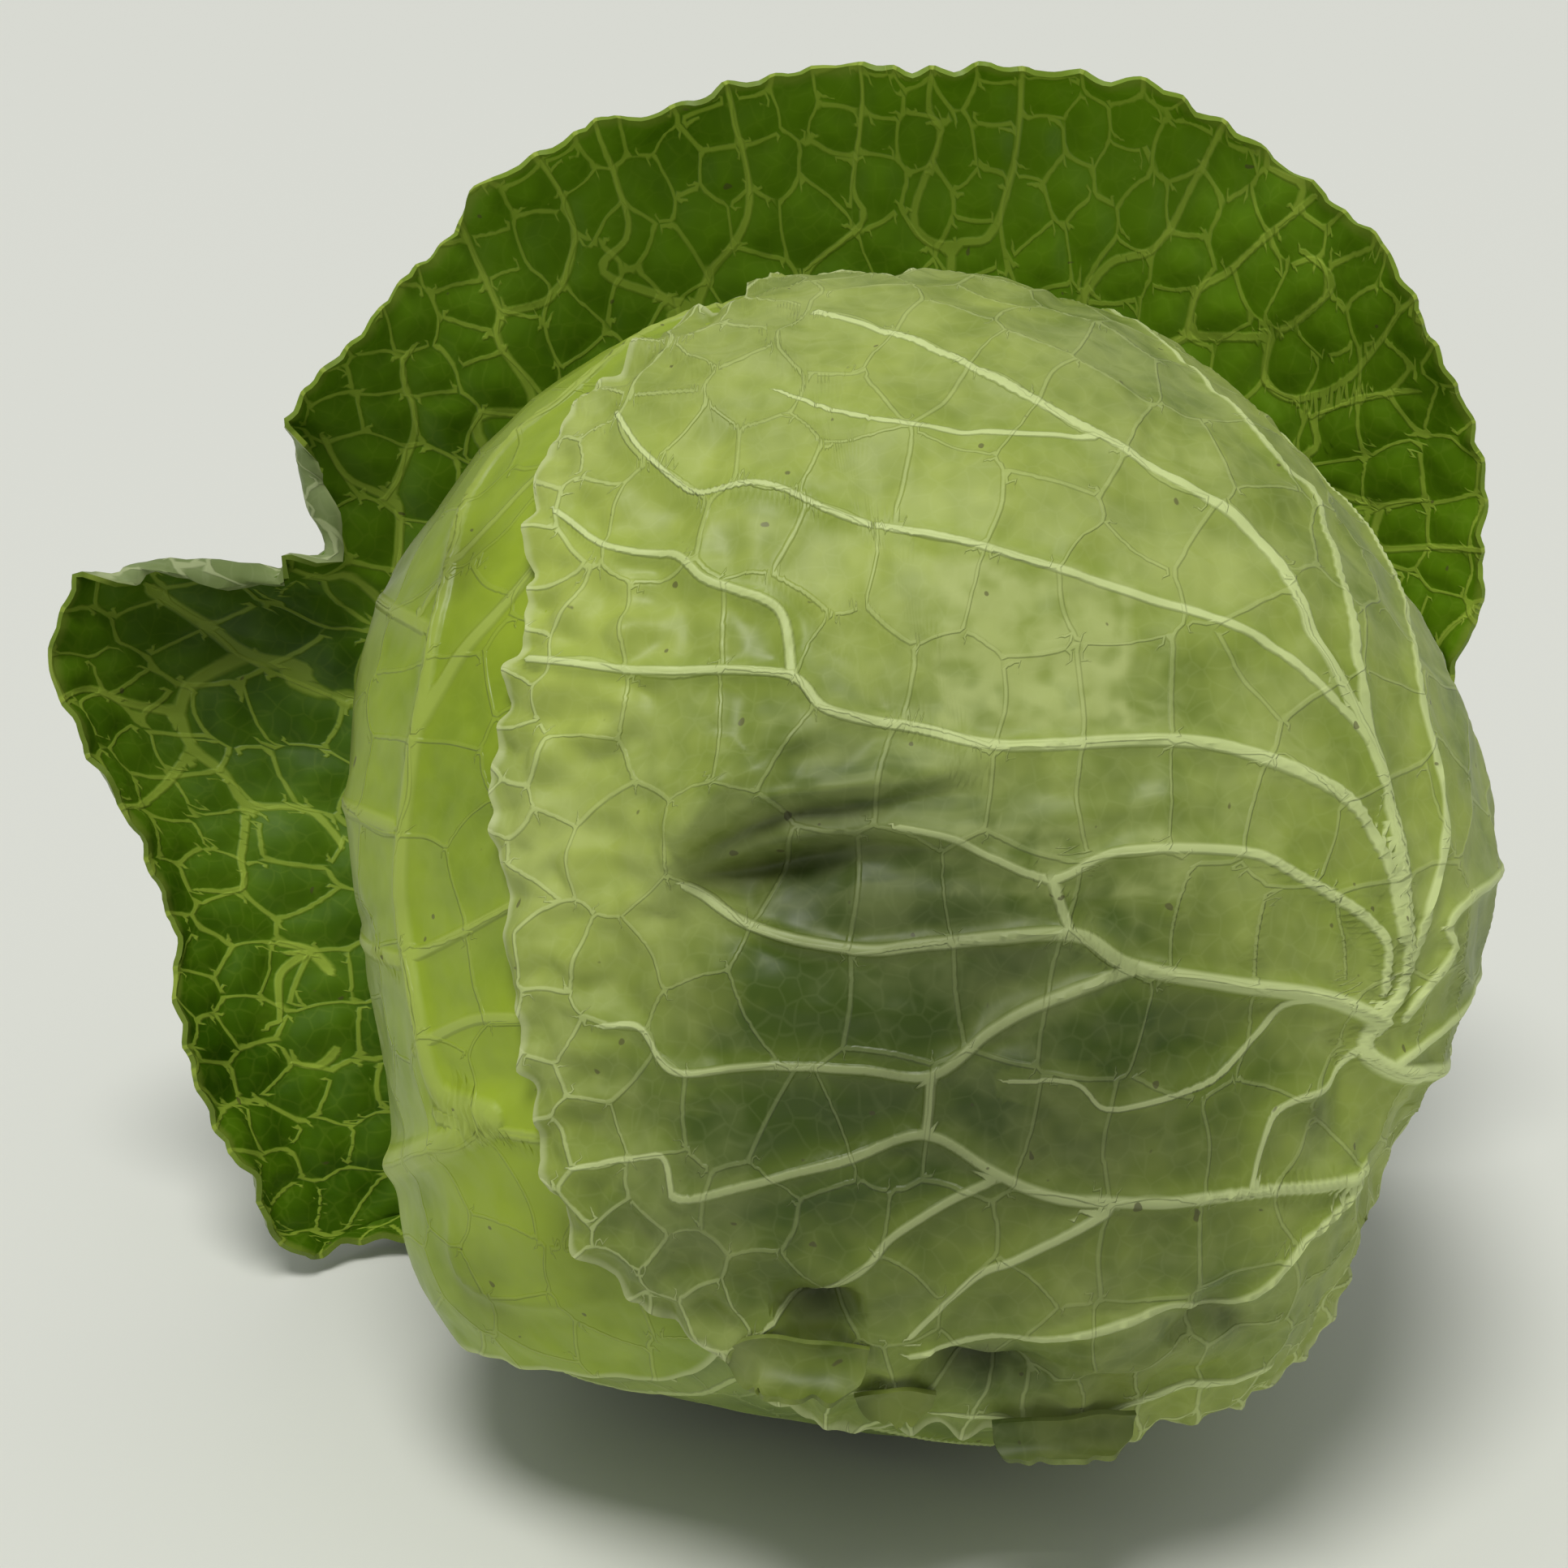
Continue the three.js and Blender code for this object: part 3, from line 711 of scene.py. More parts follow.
waxy = leafMaterial("waxyLeaf", waxyLook)
yellow = leafMaterial("yellowLeaf", yellowLook)
shaded = leafMaterial("shadedLeaf", shadedLook)
deepShaded = leafMaterial("deepShadeLeaf", deepShadeLook)
dark = leafMaterial("darkLeafFace", darkLook)
darkBack = leafMaterial("darkLeafBack", underLook)
print("materials ready")

# the leaves

outer = 0.6  # each layer's outer face, from the middle of its thickness
pitch = 2.6

frontLeaf = {
    "thickness": 0.9,
    "pole": (0, 0, 1), "heading": (0, 1, 0), "middle": (5, 5), "layer": outer, "lowest": 5, "cells": 205,
    "outline": [
        (-85, 64), (-72, 68), (-58, 73), (-46, 70), (-33, 70), (-22, 80), (-8, 94), (12, 101), (35, 98), (60, 90),
        (85, 82), (102, 81), (107, 85), (111, 77), (115, 65), (119, 68), (125, 63), (135, 59), (143, 55), (152, 50),
        (160, 48), (174, 48), (190, 47), (207, 49), (215, 52), (223, 54), (233, 56), (242, 55), (247, 60),
        (256, 63), (265, 61),
    ],
    "teeth": [(7, 0.9), (3.0, 0.45)],
    "frill": {"band": 9, "lift": 0.8, "depth": 2.4, "size": 9},
    "puff": {"size": 3, "depth": 0.6, "rimGain": 3.2, "rimBand": 14},
    "raise": 1.25,
    "thin": 0.85,
    "calm": -10,
    "swell": [(46, 1.8, 5), (20, 1.1, 11), (8, 0.3, 15)],
    "creases": [(34, 0.7, 17), (22, 0.5, 19)],
    # pale patches where the face shows a sheen: partly rubbed bloom, partly a painted sheen
    "scuffsAndSheen": [((20, 41), (19, 16), 1.0), ((24, 2), (24, 7), 0.5)],
    "net": {"cell": 15, "rimCell": 8, "width": 0.35, "height": 0.22, "tries": 5000},
    "ribs": [
        ([(0.8, -0.38, -0.46), (0.93, -0.3, -0.1), (85, -36), (88, -20), (88, -8), (86, 8), (81, 24), (70, 43),
          (59, 62), (38, 76), (20, 86), (-3, 98), (-20, 101)], (2.6, 0.8), (1.6, 0.5)),
        ([(84, -28), (73, -23), (54, -20), (37, -17), (26, -11), (2, -13), (-12, -14), (-31, -10), (-43, -3)],
         (1.7, 0.9), (1.9, 1.0)),
        ([(87, -11), (85, 0), (77, 13), (60, 21), (44, 24), (15, 23), (-1, 26), (-17, 29), (-26, 36), (-52, 36),
          (-72, 39)], (1.5, 0.7), (1.3, 0.8)),
    ],
    "branches": [
        ([(31, 79), (14, 80), (-8, 82), (-26, 88)], (0.8, 0.5), (0.5, 0.3)),
        ([(83, 17), (78, 27), (59, 43), (33, 52), (4, 60), (-14, 64), (-29, 70), (-41, 70), (-51, 76), (-55, 84)],
         (1.0, 0.5), (0.8, 0.5)),
        ([(-24, 36), (-26, 47), (-34, 51), (-40, 53), (-46, 58), (-57, 59), (-66, 66)], (1.0, 0.6), (0.9, 0.5)),
        ([(84, -22), (83, -11), (67, 0), (57, 4), (35, 4), (23, -1), (12, 3), (5, 6), (-5, 8)], (1.2, 0.6), (1.2, 0.6)),
        ([(23, -2), (26, -10)], (1.0, 1.0), (1.0, 1.0)),
        ([(37, -18), (21, -24), (12, -29), (1, -37), (-12, -36), (-29, -35), (-46, -36), (-52, -29), (-59, -29)],
         (1.2, 0.6), (1.1, 0.6)),
        ([(1, -37), (1, -42), (0, -48)], (1.0, 0.9), (0.9, 0.8)),
        ([(81, -53), (77, -56), (59, -58), (40, -60), (23, -59), (12, -54), (0, -48), (-12, -52), (-24, -55),
          (-41, -59), (-46, -58)], (1.3, 0.8), (1.2, 0.7)),
        ([(-46, -58), (-47, -52), (-52, -52), (-63, -54)], (0.7, 0.5), (0.6, 0.4)),
        ([(12, -56), (-5, -65), (-12, -72), (-29, -83)], (0.9, 0.6), (0.8, 0.5)),
        ([(33, -61), (16, -69), (8, -73), (-2, -84)], (0.9, 0.6), (0.8, 0.6)),
        ([(79, -56), (70, -65), (60, -75), (51, -80), (44, -78), (26, -82), (12, -84), (-2, -87)], (1.2, 0.7),
         (1.3, 0.8)),
        ([(62, -89), (54, -92), (40, -97), (26, -100), (12, -100), (2, -98)], (1.0, 0.6), (0.9, 0.6)),
        ([(72, -23), (66, -24), (61, -30), (54, -37), (45, -41), (33, -43), (27, -38), (15, -38)], (0.7, 0.4),
         (0.6, 0.4)),
        ([(82, -30), (75, -39), (69, -41), (63, -45), (59, -57)], (0.8, 0.6), (0.7, 0.5)),
        ([(81, 24), (78, 39), (75, 55), (70, 68), (60, 79), (0.3, 0.95, 0.05)], (1.3, 0.8), (0.9, 0.5)),
        ([(88, -20), (92, -6), (94, 5), (94, 15), (89, 36), (84, 55), (0.55, 0.83, -0.1)], (1.4, 0.8), (1.0, 0.5)),
        ([(88, -27), (95, -15), (98, -4), (0.96, 0.12, -0.2), (0.8, 0.5, -0.35)], (1.2, 0.6), (0.9, 0.4)),
        ([(85, -36), (95, -28), (99, -22), (0.95, 0, -0.35), (0.82, 0.3, -0.5)], (1.2, 0.6), (0.9, 0.4)),
    ],
    # line, half widths, heights, lean to one side
    "folds": [
        ([(-46, -1), (-36, 0), (-26, 2), (-12, 5), (2, 4), (16, 1)], (4.2, 3.5), (-9, -1), 0.4),
        ([(-45, 2), (-36, 6), (-26, 10), (-14, 12), (4, 15), (26, 21)], (3, 3), (-5, -0.8), 0.35),
        ([(-46, -2), (-38, 2), (-28, 5), (-14, 8), (0, 8), (12, 6)], (3.5, 3), (4, 2), -0.55),
        ([(-44, 3), (-36, 9), (-26, 14), (-12, 15), (6, 18), (26, 24)], (3.5, 3), (3, 1.5), -0.55),
        ([(-44, 3), (-38, 12), (-30, 19), (-18, 27), (-8, 31)], (4, 3.5), (2.6, 1.5), -0.4),
        ([(-32, 22), (-39, 12), (-45, 0), (-47, -8)], (3.5, 3), (4, 3.0), 0.4),
        ([(-38, 8), (-24, 7), (-8, 6), (10, 6)], (3, 3), (1.6, 1.2), 0),
        ([(-38, 14), (-24, 14), (-6, 17)], (2.2, 2.2), (1.4, 1.05), 0),
        ([(-45, -16), (-20, -25), (10, -25)], (12, 7), (2.6, 1.95), 0),
        ([(-22, 17), (8, 14), (40, 12)], (8, 6), (2.0, 1.5), 0),
        ([(0, -89), (10, -91), (22, -93)], (4, 4), (-7, -5.25), 0),
        ([(45, -86), (52, -80), (60, -86)], (4, 4), (-4, -3.0), 0),
        ([(16, -86), (34, -84), (50, -81)], (3.5, 3.5), (2.8, 2.1), 0.2),
        ([(28, -97), (44, -95), (56, -90)], (5, 5), (-3, -2.25), 0),
        ([(-28, -81), (-20, -79.5), (-12, -78)], (3, 3), (-7, -5.25), 0.3),
        ([(76, -28), (78, -42), (74, -54)], (5, 5), (-3, -2.25), 0),
        ([(92, -44), (88, -54), (82, -64)], (14, 14), (-3.5, -2.62), 0),
        ([(30, -30), (50, -31), (66, -40)], (9, 7), (-2.4, -1.8), 0),
        ([(-20, -70), (10, -76), (40, -70)], (12, 10), (1.6, 1.2), 0),
        ([(40, 30), (60, 34), (76, 20)], (9, 7), (-1.4, -1.05), 0),
        ([(-30, 86), (-44, 70), (-52, 45)], (5, 5), (-2.2, -1.65), 0),
        ([(-56, 30), (-58, 0), (-52, -40)], (5, 5), (-1.6, -1.2), 0),
    ],
    # middle, half sizes, lengths along and across, height, shift
    "wrinkles": [
        ((4, 14), (52, 18), 22, 5.5, 1.3, 101), ((-60, 20), (16, 80), 10, 6, 1.9, 103),
        ((-45, 40), (14, 50), 12, 9, 1.4, 104),
        ((10, -20), (60, 20), 26, 8, 1.0, 105), ((10, -88), (70, 16), 16, 6, 1.5, 107),
        ((20, 60), (60, 40), 30, 11, 0.7, 109),
    ],
    # painted light and shade: the upper leaf lighter, the lower leaf and the dent darker, with some of the leaf's own
    # tone
    "tonesAndPaintedLight": [
        ((20, 41), 26, 0.2), ((-10, 75), 34, 0.25), ((-55, 50), 26, 0.45), ((60, 20), 26, -0.05), ((-60, 10), 18, 0.3),
        ((-15, 16), 16, -0.3), ((-15, -40), 30, -0.45), ((35, -42), 30, -0.4), ((0, -2), 18, -0.45), ((12, -90), 14, -0.5),
        ((-50, -50), 22, -0.15), ((85, 20), 30, 0.1),
    ],
    # painted shade: the lower face, the dent, the hollows at the foot and the ground under the fold darkened
    "paintedShades": [
        ((-5, -44), 40, 0.44), ((35, -44), 34, 0.38), ((4, -7), 14, 0.3), ((-20, -5), 10, 0.3),
        ((-20, -80), 5, 0.6), ((10, -91), 6, 0.6), ((-40, -66), 20, 0.2), ((72, -44), 2.5, 0.4), ((-18, 16), 12, 0.2),
        ((34, -94), 16, 0.3),
    ],
}

# what the leaves under the front leaf share, unless their own dictionary says otherwise
wrapper = {
    "under": frontLeaf,
    "thickness": 0.9,
    "teeth": [(9, 0.8), (3.9, 0.4)],
    "raise": 1.3,
    "net": {"cell": 15, "rimCell": 10, "width": 0.4, "height": 0.25, "tries": 3000},
}

sideLeaf = {
    **wrapper,
    "pole": (-0.94, 0.04, 0.34), "heading": (0, 1, 0), "layer": outer - pitch, "lowest": 5, "cells": 150,
    "outline": [
        (-90, 46), (-75, 52), (-60, 60), (-48, 58), (-30, 45), (0, 42), (40, 54), (65, 66), (90, 66), (115, 60), (150, 44),
        (180, 36), (215, 38), (245, 44),
    ],
    "teeth": [(8, 0.7), (3.5, 0.35)],
    "frill": {"band": 4, "lift": 0.8, "depth": 0.8, "size": 10},
    "puff": {"size": 5, "depth": 0.4, "rimGain": 1.5, "rimBand": 10},
    "swell": [(40, 1.4, 25), (15, 0.6, 31)],
    "creases": [(30, 0.5, 27)],
    "net": {"cell": 15, "rimCell": 10, "width": 0.35, "height": 0.15, "tries": 3000},
    "ribs": [
        ([(-0.55, -0.5, -0.65), (-84, -48), (-88, -40), (-91, -26), (-94, -10), (-93, 8), (-90, 30), (-86, 52),
          (-80, 72), (-62, 89), (-44, 100), (-32, 102)], (3.6, 0.9), (1.8, 1.2)),
    ],
    "branches": [
        ([(-92, 22), (-85, 38), (-78, 47), (-71, 56), (-66, 63)], (1.7, 0.9), (0.7, 0.4)),
        ([(-94, -16), (-85, -11), (-72, -4)], (1.1, 0.7), (0.5, 0.3)),
        ([(-92, -32), (-82, -27), (-71, -26)], (1.1, 0.7), (0.5, 0.3)),
        ([(-88, -44), (-76, -47), (-62, -49)], (1.3, 0.9), (0.9, 0.6)),
        ([(-90, 48), (-80, 62), (-64, 78)], (0.9, 0.6), (0.4, 0.3)),
        ([(-95, 8), (-0.97, 0.2, -0.1), (-0.85, 0.35, -0.35)], (1.4, 0.7), (0.6, 0.3)),
        ([(-95, -16), (-0.98, -0.05, -0.2), (-0.88, 0.05, -0.45)], (1.4, 0.7), (0.6, 0.3)),
        ([(-90, 44), (-0.9, 0.5, 0.0), (-0.75, 0.6, -0.25)], (1.2, 0.7), (0.5, 0.3)),
    ],
    "folds": [
        ([(-94, 62), (-99, 40), (-101, 15), (-100, -8)], (15, 15), (3.5, 3), 0),
        ([(-87, -60), (-84, -73), (-70, -79), (-55, -77)], (1.6, 1.6), (1.2, 1), 0),
        ([(-90, -42), (-80, -38), (-66, -40)], (4, 4), (-1.6, -1.2), 0),
        ([(-78, -60), (-62, -64)], (6, 5), (-1.0, -0.8), 0),
    ],
    # painted shade: the side leaf darkened beyond its edge towards the outer leaf, and in its hollows
    "paintedShades": [
        ((-0.97, 0.28, 0.0), 31, 0.9), ((-1, 0.02, 0.0), 27, 0.9), ((-0.85, 0.6, 0.05), 26, 0.85), ((-62, -72), 14, 0.3),
        ((-0.97, -0.28, -0.05), 16, 0.5), ((-84, 56), 7, 0.4), ((-80, -76), 9, 0.3),
    ],
    # painted light and shade: lighter round its lower right, much darker round its far edge
    "tonesAndPaintedLight": [
        ((-80, 50), 30, 0.1), ((-75, -55), 20, 0.5), ((-80, -50), 24, 0.1), ((-0.98, 0.1, -0.15), 26, -0.6),
        ((-0.9, 0.45, -0.15), 26, -0.6),
        ((-0.94, -0.25, -0.2), 22, -0.6),
    ],
}

lowerLeaf = {
    **wrapper,
    "pole": (-0.55, -0.72, 0.42), "heading": (0, 0.5, 0.86), "layer": outer - 2 * pitch, "lowest": 3.5, "cells": 110,
    "outline": [(-90, 28), (-60, 34), (-30, 44), (0, 50), (45, 42), (90, 32), (135, 34), (180, 44), (220, 38)],
    "teeth": [(7, 0.8), (3.0, 0.4)],
    "frill": {"band": 4, "lift": 1.2, "depth": 1.0, "size": 9},
    "puff": {"size": 4, "depth": 0.5, "rimGain": 1.5, "rimBand": 9},
    "swell": [(26, 1.0, 41), (11, 0.4, 43)],
    "net": {"cell": 12, "rimCell": 8, "width": 0.4, "height": 0.25, "tries": 2000},
    "ribs": [([(-77, -78), (-71, -81), (-62, -83), (-38, -86), (0.1, -0.95, 0.3)], (1.0, 0.7), (1.0, 0.7))],
    "branches": [
        ([(-71, -85), (-65, -90), (-58, -94), (-43, -94), (-34, -91)], (0.8, 0.6), (0.8, 0.5)),
        ([(-62, -83), (-55, -88), (-46, -92)], (0.6, 0.4), (0.5, 0.3)),
    ],
}

underLeaf = {
    **wrapper,
    "pole": (0.12, -0.92, -0.36), "heading": (0, 0, 1), "layer": outer - 4 * pitch, "lowest": 0, "cells": 150,
    "outline": [(-90, 50), (-45, 60), (0, 72), (45, 70), (90, 66), (135, 68), (180, 74), (225, 62)],
    "frill": {"band": 4, "lift": 0.6, "depth": 0.8, "size": 10},
    "puff": {"size": 5, "depth": 0.5, "rimGain": 1.0, "rimBand": 10},
    "swell": [(34, 1.2, 51), (12, 0.5, 53)],
    "creases": [(26, 0.6, 57)],
    "ribs": [([(0.8, -0.38, -0.46), (0.5, -0.8, -0.3), (0.0, -0.98, -0.1), (-0.6, -0.75, 0.1)], (2.6, 0.9), (1.4, 0.6))],
    "branches": [
        ([(0.55, -0.75, -0.33), (0.5, -0.8, 0.1), (0.35, -0.75, 0.5)], (1.2, 0.6), (0.9, 0.5)),
        ([(0.2, -0.93, -0.2), (0.1, -0.93, 0.25), (-0.1, -0.8, 0.55)], (1.1, 0.6), (0.8, 0.4)),
        ([(0.45, -0.83, -0.28), (0.3, -0.75, -0.55), (0.0, -0.6, -0.8)], (1.1, 0.6), (0.8, 0.4)),
        ([(-0.05, -0.97, -0.1), (-0.25, -0.85, -0.45), (-0.5, -0.6, -0.6)], (1.0, 0.6), (0.8, 0.4)),
        ([(0.75, -0.5, -0.4), (0.9, -0.4, 0.1), (0.85, -0.3, 0.4)], (1.2, 0.6), (0.8, 0.4)),
    ],
}

backLeafRight = {
    **wrapper,
    "pole": (0.42, 0.42, -0.8), "heading": (0, 1, 0), "layer": outer - 2 * pitch, "lowest": 5, "cells": 150,
    "outline": [(-90, 46), (-45, 50), (0, 62), (45, 74), (90, 82), (135, 78), (180, 62), (225, 48)],
    "frill": {"band": 4, "lift": 0.8, "depth": 0.9, "size": 10},
    "puff": {"size": 5, "depth": 0.5, "rimGain": 1.0, "rimBand": 10},
    "swell": [(34, 1.4, 61), (12, 0.5, 63)],
    "creases": [(26, 0.6, 67)],
    "ribs": [([(0.8, -0.38, -0.46), (0.8, 0.0, -0.6), (0.6, 0.45, -0.65), (0.2, 0.85, -0.5), (-0.1, 1, -0.1)],
              (2.8, 0.8), (1.5, 0.6))],
    "branches": [
        ([(0.8, -0.05, -0.6), (0.95, 0.15, -0.3), (0.98, 0.3, 0.0)], (1.2, 0.6), (0.9, 0.5)),
        ([(0.72, 0.25, -0.65), (0.85, 0.5, -0.3), (0.8, 0.62, 0.0)], (1.2, 0.6), (0.9, 0.5)),
        ([(0.55, 0.5, -0.66), (0.6, 0.75, -0.3), (0.5, 0.87, 0.0)], (1.0, 0.5), (0.8, 0.4)),
        ([(0.78, 0.05, -0.62), (0.5, 0.1, -0.87), (0.0, 0.1, -1)], (1.2, 0.6), (0.9, 0.5)),
        ([(0.62, 0.42, -0.66), (0.2, 0.5, -0.85), (-0.3, 0.5, -0.8)], (1.1, 0.6), (0.8, 0.5)),
        ([(0.35, 0.75, -0.56), (-0.1, 0.8, -0.6), (-0.45, 0.75, -0.45)], (1.0, 0.5), (0.8, 0.4)),
    ],
}

backLeafLeft = {
    **wrapper,
    "pole": (-0.76, 0.12, -0.64), "heading": (0, 1, 0), "layer": outer - 3 * pitch, "lowest": 5, "cells": 120,
    "outline": [(-90, 40), (-45, 44), (0, 60), (45, 64), (90, 76), (135, 66), (180, 58), (225, 50)],
    "frill": {"band": 4, "lift": 0.8, "depth": 0.9, "size": 10},
    "puff": {"size": 5, "depth": 0.5, "rimGain": 1.0, "rimBand": 10},
    "swell": [(34, 1.4, 71), (12, 0.5, 73)],
    "creases": [(26, 0.6, 77)],
    "ribs": [([(0.3, -0.3, -0.9), (-0.2, -0.2, -0.96), (-0.7, 0.0, -0.7), (-0.9, 0.35, -0.3), (-0.75, 0.65, 0.1)],
              (2.6, 0.8), (1.4, 0.6))],
    "branches": [
        ([(-0.3, -0.18, -0.93), (-0.6, -0.4, -0.7), (-0.85, -0.45, -0.3)], (1.2, 0.6), (0.9, 0.5)),
        ([(-0.6, -0.05, -0.78), (-0.85, -0.15, -0.5), (-0.98, -0.1, -0.15)], (1.1, 0.6), (0.8, 0.5)),
        ([(-0.4, -0.15, -0.9), (-0.45, 0.35, -0.8), (-0.4, 0.7, -0.6)], (1.1, 0.6), (0.8, 0.5)),
        ([(-0.8, 0.15, -0.56), (-0.7, 0.6, -0.4), (-0.5, 0.85, -0.2)], (1.1, 0.6), (0.8, 0.5)),
    ],
}

outerLeaf = {
    "pole": (0, 0, -1), "heading": (0, 1, 0), "layer": 2.6 + 0.8, "lowest": 3, "cells": 205, "thickness": 1.1,
    "seen": -1, "liftFrom": 0.55,
    "outline": [
        (-90, 40), (-60, 50), (-38, 66), (-22, 72), (-2, 73), (10, 75), (17, 76.5), (22, 77.5), (27, 70), (33, 74),
        (40, 75), (60, 76), (85, 77), (105, 77), (125, 76), (140, 74), (152, 70), (162, 66), (180, 54), (205, 57), (222, 50),
        (245, 40),
    ],
    "lift": [
        (-90, 0), (-60, 14), (-38, 36), (-22, 40), (-2, 46), (10, 62), (17, 65), (22, 60), (27, 33), (33, 40), (40, 37),
        (50, 34), (60, 37), (85, 38), (105, 42), (125, 34), (140, 25), (152, 15), (162, 7), (180, 0), (205, 0),
        (240, 0),
    ],
    "teeth": [(17, 2.6), (5, 0.9), (2.2, 0.5)],
    "frill": {"band": 8, "lift": 0.0, "depth": 2.2, "size": 15},
    "puff": {"size": 4, "depth": 1.2, "rimGain": 0.5, "rimBand": 12},
    "raise": 0.8,
    "thin": 1.35,
    "swell": [(40, 2.0, 81), (16, 0.8, 83), (6, 0.2, 85)],
    "net": {"cell": 13, "rimCell": 8, "width": 0.5, "height": 0.3, "tries": 7000},
    "ribs": [
        ([(0.8, -0.38, -0.46), (0.45, -0.1, -0.9), (0.0, 0.1, -1), (-0.5, 0.2, -0.85), (-106, 32), (-112, 37),
          (-123, 39), (-130, 45), (-141, 51)], (4.5, 1.0), (2.5, 0.6)),
    ],
    "branches": [
        ([(-0.8, 0.28, -0.55), (-95, 63), (-98, 68), (-105, 73), (-110, 78)], (1.2, 0.5), (1.0, 0.4)),
        ([(-97, 68), (-93, 81), (-95, 91), (-93, 94)], (0.8, 0.4), (0.7, 0.3)),
        ([(-0.3, 0.17, -0.94), (-0.62, 0.6, -0.5), (-71, 85), (-78, 96), (-77, 101), (-79, 111), (-82, 120)],
         (1.6, 0.5), (1.2, 0.4)),
        ([(-77, 101), (-66, 106), (-64, 117), (-71, 128)], (0.8, 0.4), (0.7, 0.3)),
        ([(-0.1, 0.12, -0.99), (-0.35, 0.75, -0.55), (-41, 101), (-39, 108), (-32, 121), (-34, 137)], (1.6, 0.5),
         (1.2, 0.4)),
        ([(-42, 102), (-58, 109), (-54, 117), (-57, 132)], (0.8, 0.4), (0.7, 0.3)),
        ([(0.0, 0.1, -1), (-0.15, 0.8, -0.55), (-22, 108), (-12, 118), (-13, 124), (-11, 136), (-11, 146)],
         (1.0, 0.4), (0.9, 0.3)),
        ([(0.1, 0.05, -1), (0.05, 0.7, -0.7), (4, 108), (6, 114), (12, 117), (17, 130), (18, 147)], (1.6, 0.5),
         (1.2, 0.4)),
        ([(6, 114), (1, 114), (-2, 119), (3, 132), (1, 137), (2, 147)], (0.8, 0.4), (0.7, 0.3)),
        ([(0.22, 0.0, -0.97), (0.2, 0.45, -0.87), (0.25, 0.8, -0.5), (27, 101), (34, 110), (43, 115), (52, 130),
          (56, 136)], (1.4, 0.5), (1.1, 0.4)),
        ([(0.3, 0, -0.95), (0.45, 0.6, -0.65), (41, 92), (47, 97), (50, 105), (56, 109), (67, 117)], (1.6, 0.5),
         (1.2, 0.4)),
        ([(47, 97), (63, 98), (72, 106), (67, 112)], (0.9, 0.4), (0.7, 0.3)),
        ([(63, 98), (62, 89), (67, 86), (77, 91), (85, 100)], (0.8, 0.4), (0.7, 0.3)),
        ([(0.52, -0.15, -0.84), (0.5, 0.1, -0.86), (0.6, 0.55, -0.55), (67, 74), (72, 77), (72, 83), (87, 86)],
         (1.3, 0.5), (1.0, 0.4)),
        ([(70, 70), (83, 66), (89, 68)], (0.9, 0.4), (0.7, 0.3)),
        ([(83, 66), (83, 58), (97, 59)], (0.8, 0.4), (0.7, 0.3)),
        ([(-0.7, 0.25, -0.67), (-102, 52), (-110, 54), (-118, 57)], (1.2, 0.6), (1.0, 0.4)),
        ([(-123, 39), (-130, 36), (-134, 33), (-135, 28), (-133, 22)], (1.3, 0.9), (1.0, 0.8)),
        ([(-135, 28), (-146, 30), (-153, 32), (-157, 31)], (0.9, 0.4), (0.7, 0.3)),
        ([(-133, 22), (-138, 16), (-144, 11), (-151, 10)], (0.9, 0.4), (0.7, 0.3)),
        ([(-133, 22), (-127, 18), (-123, 12), (-112, 11), (-106, 5)], (0.9, 0.6), (0.8, 0.5)),
        ([(-123, 12), (-124, 3), (-124, -3), (-131, -4)], (0.8, 0.4), (0.7, 0.3)),
        ([(-108, -18), (-112, -14), (-118, -13)], (1.0, 0.5), (0.8, 0.4)),
        ([(-112, -15), (-117, -19), (-117, -26), (-120, -27)], (0.8, 0.4), (0.7, 0.3)),
        ([(-107, -33), (-110, -35), (-114, -34)], (0.9, 0.5), (0.8, 0.4)),
        ([(0.1, -0.05, -1), (-0.4, -0.5, -0.75), (-0.7, -0.6, -0.4)], (1.3, 0.6), (1.0, 0.4)),
        ([(0.4, -0.15, -0.9), (0.0, -0.45, -0.88), (-0.2, -0.7, -0.65)], (1.2, 0.6), (1.0, 0.4)),
        ([(0.6, -0.2, -0.75), (0.75, 0.1, -0.65), (0.85, 0.4, -0.35)], (1.3, 0.6), (1.0, 0.4)),
    ],
    "rolls": [(100, 70, 24, 32, 1), (23, 4, 9, 2.6, -1), (31, 4.5, 8, 2.4, -1)],
    # painted light and shade: the top of the outer leaf lighter, its lower left darker
    "tonesAndPaintedLight": [
        ((-60, 110), 40, 0.4), ((20, 130), 44, 0.75), ((70, 100), 30, 0.4), ((95, 60), 30, 0.35),
        ((-115, -25), 36, -0.25),
    ],
    # painted shade on the leaf's left lobe
    "paintedShades": [((-130, 36), 32, 0.45)],
}

buildLeaf("front_leaf", frontLeaf, [waxy])
buildLeaf("side_leaf", sideLeaf, [yellow])
buildLeaf("lower_leaf", lowerLeaf, [shaded])
buildLeaf("under_leaf", underLeaf, [shaded])
buildLeaf("back_leaf_right", backLeafRight, [waxy])
buildLeaf("back_leaf_left", backLeafLeft, [deepShaded])
buildLeaf("outer_leaf", outerLeaf, [darkBack, dark])

# torn flaps at the foot of the head: strips that start on the front leaf and curl out

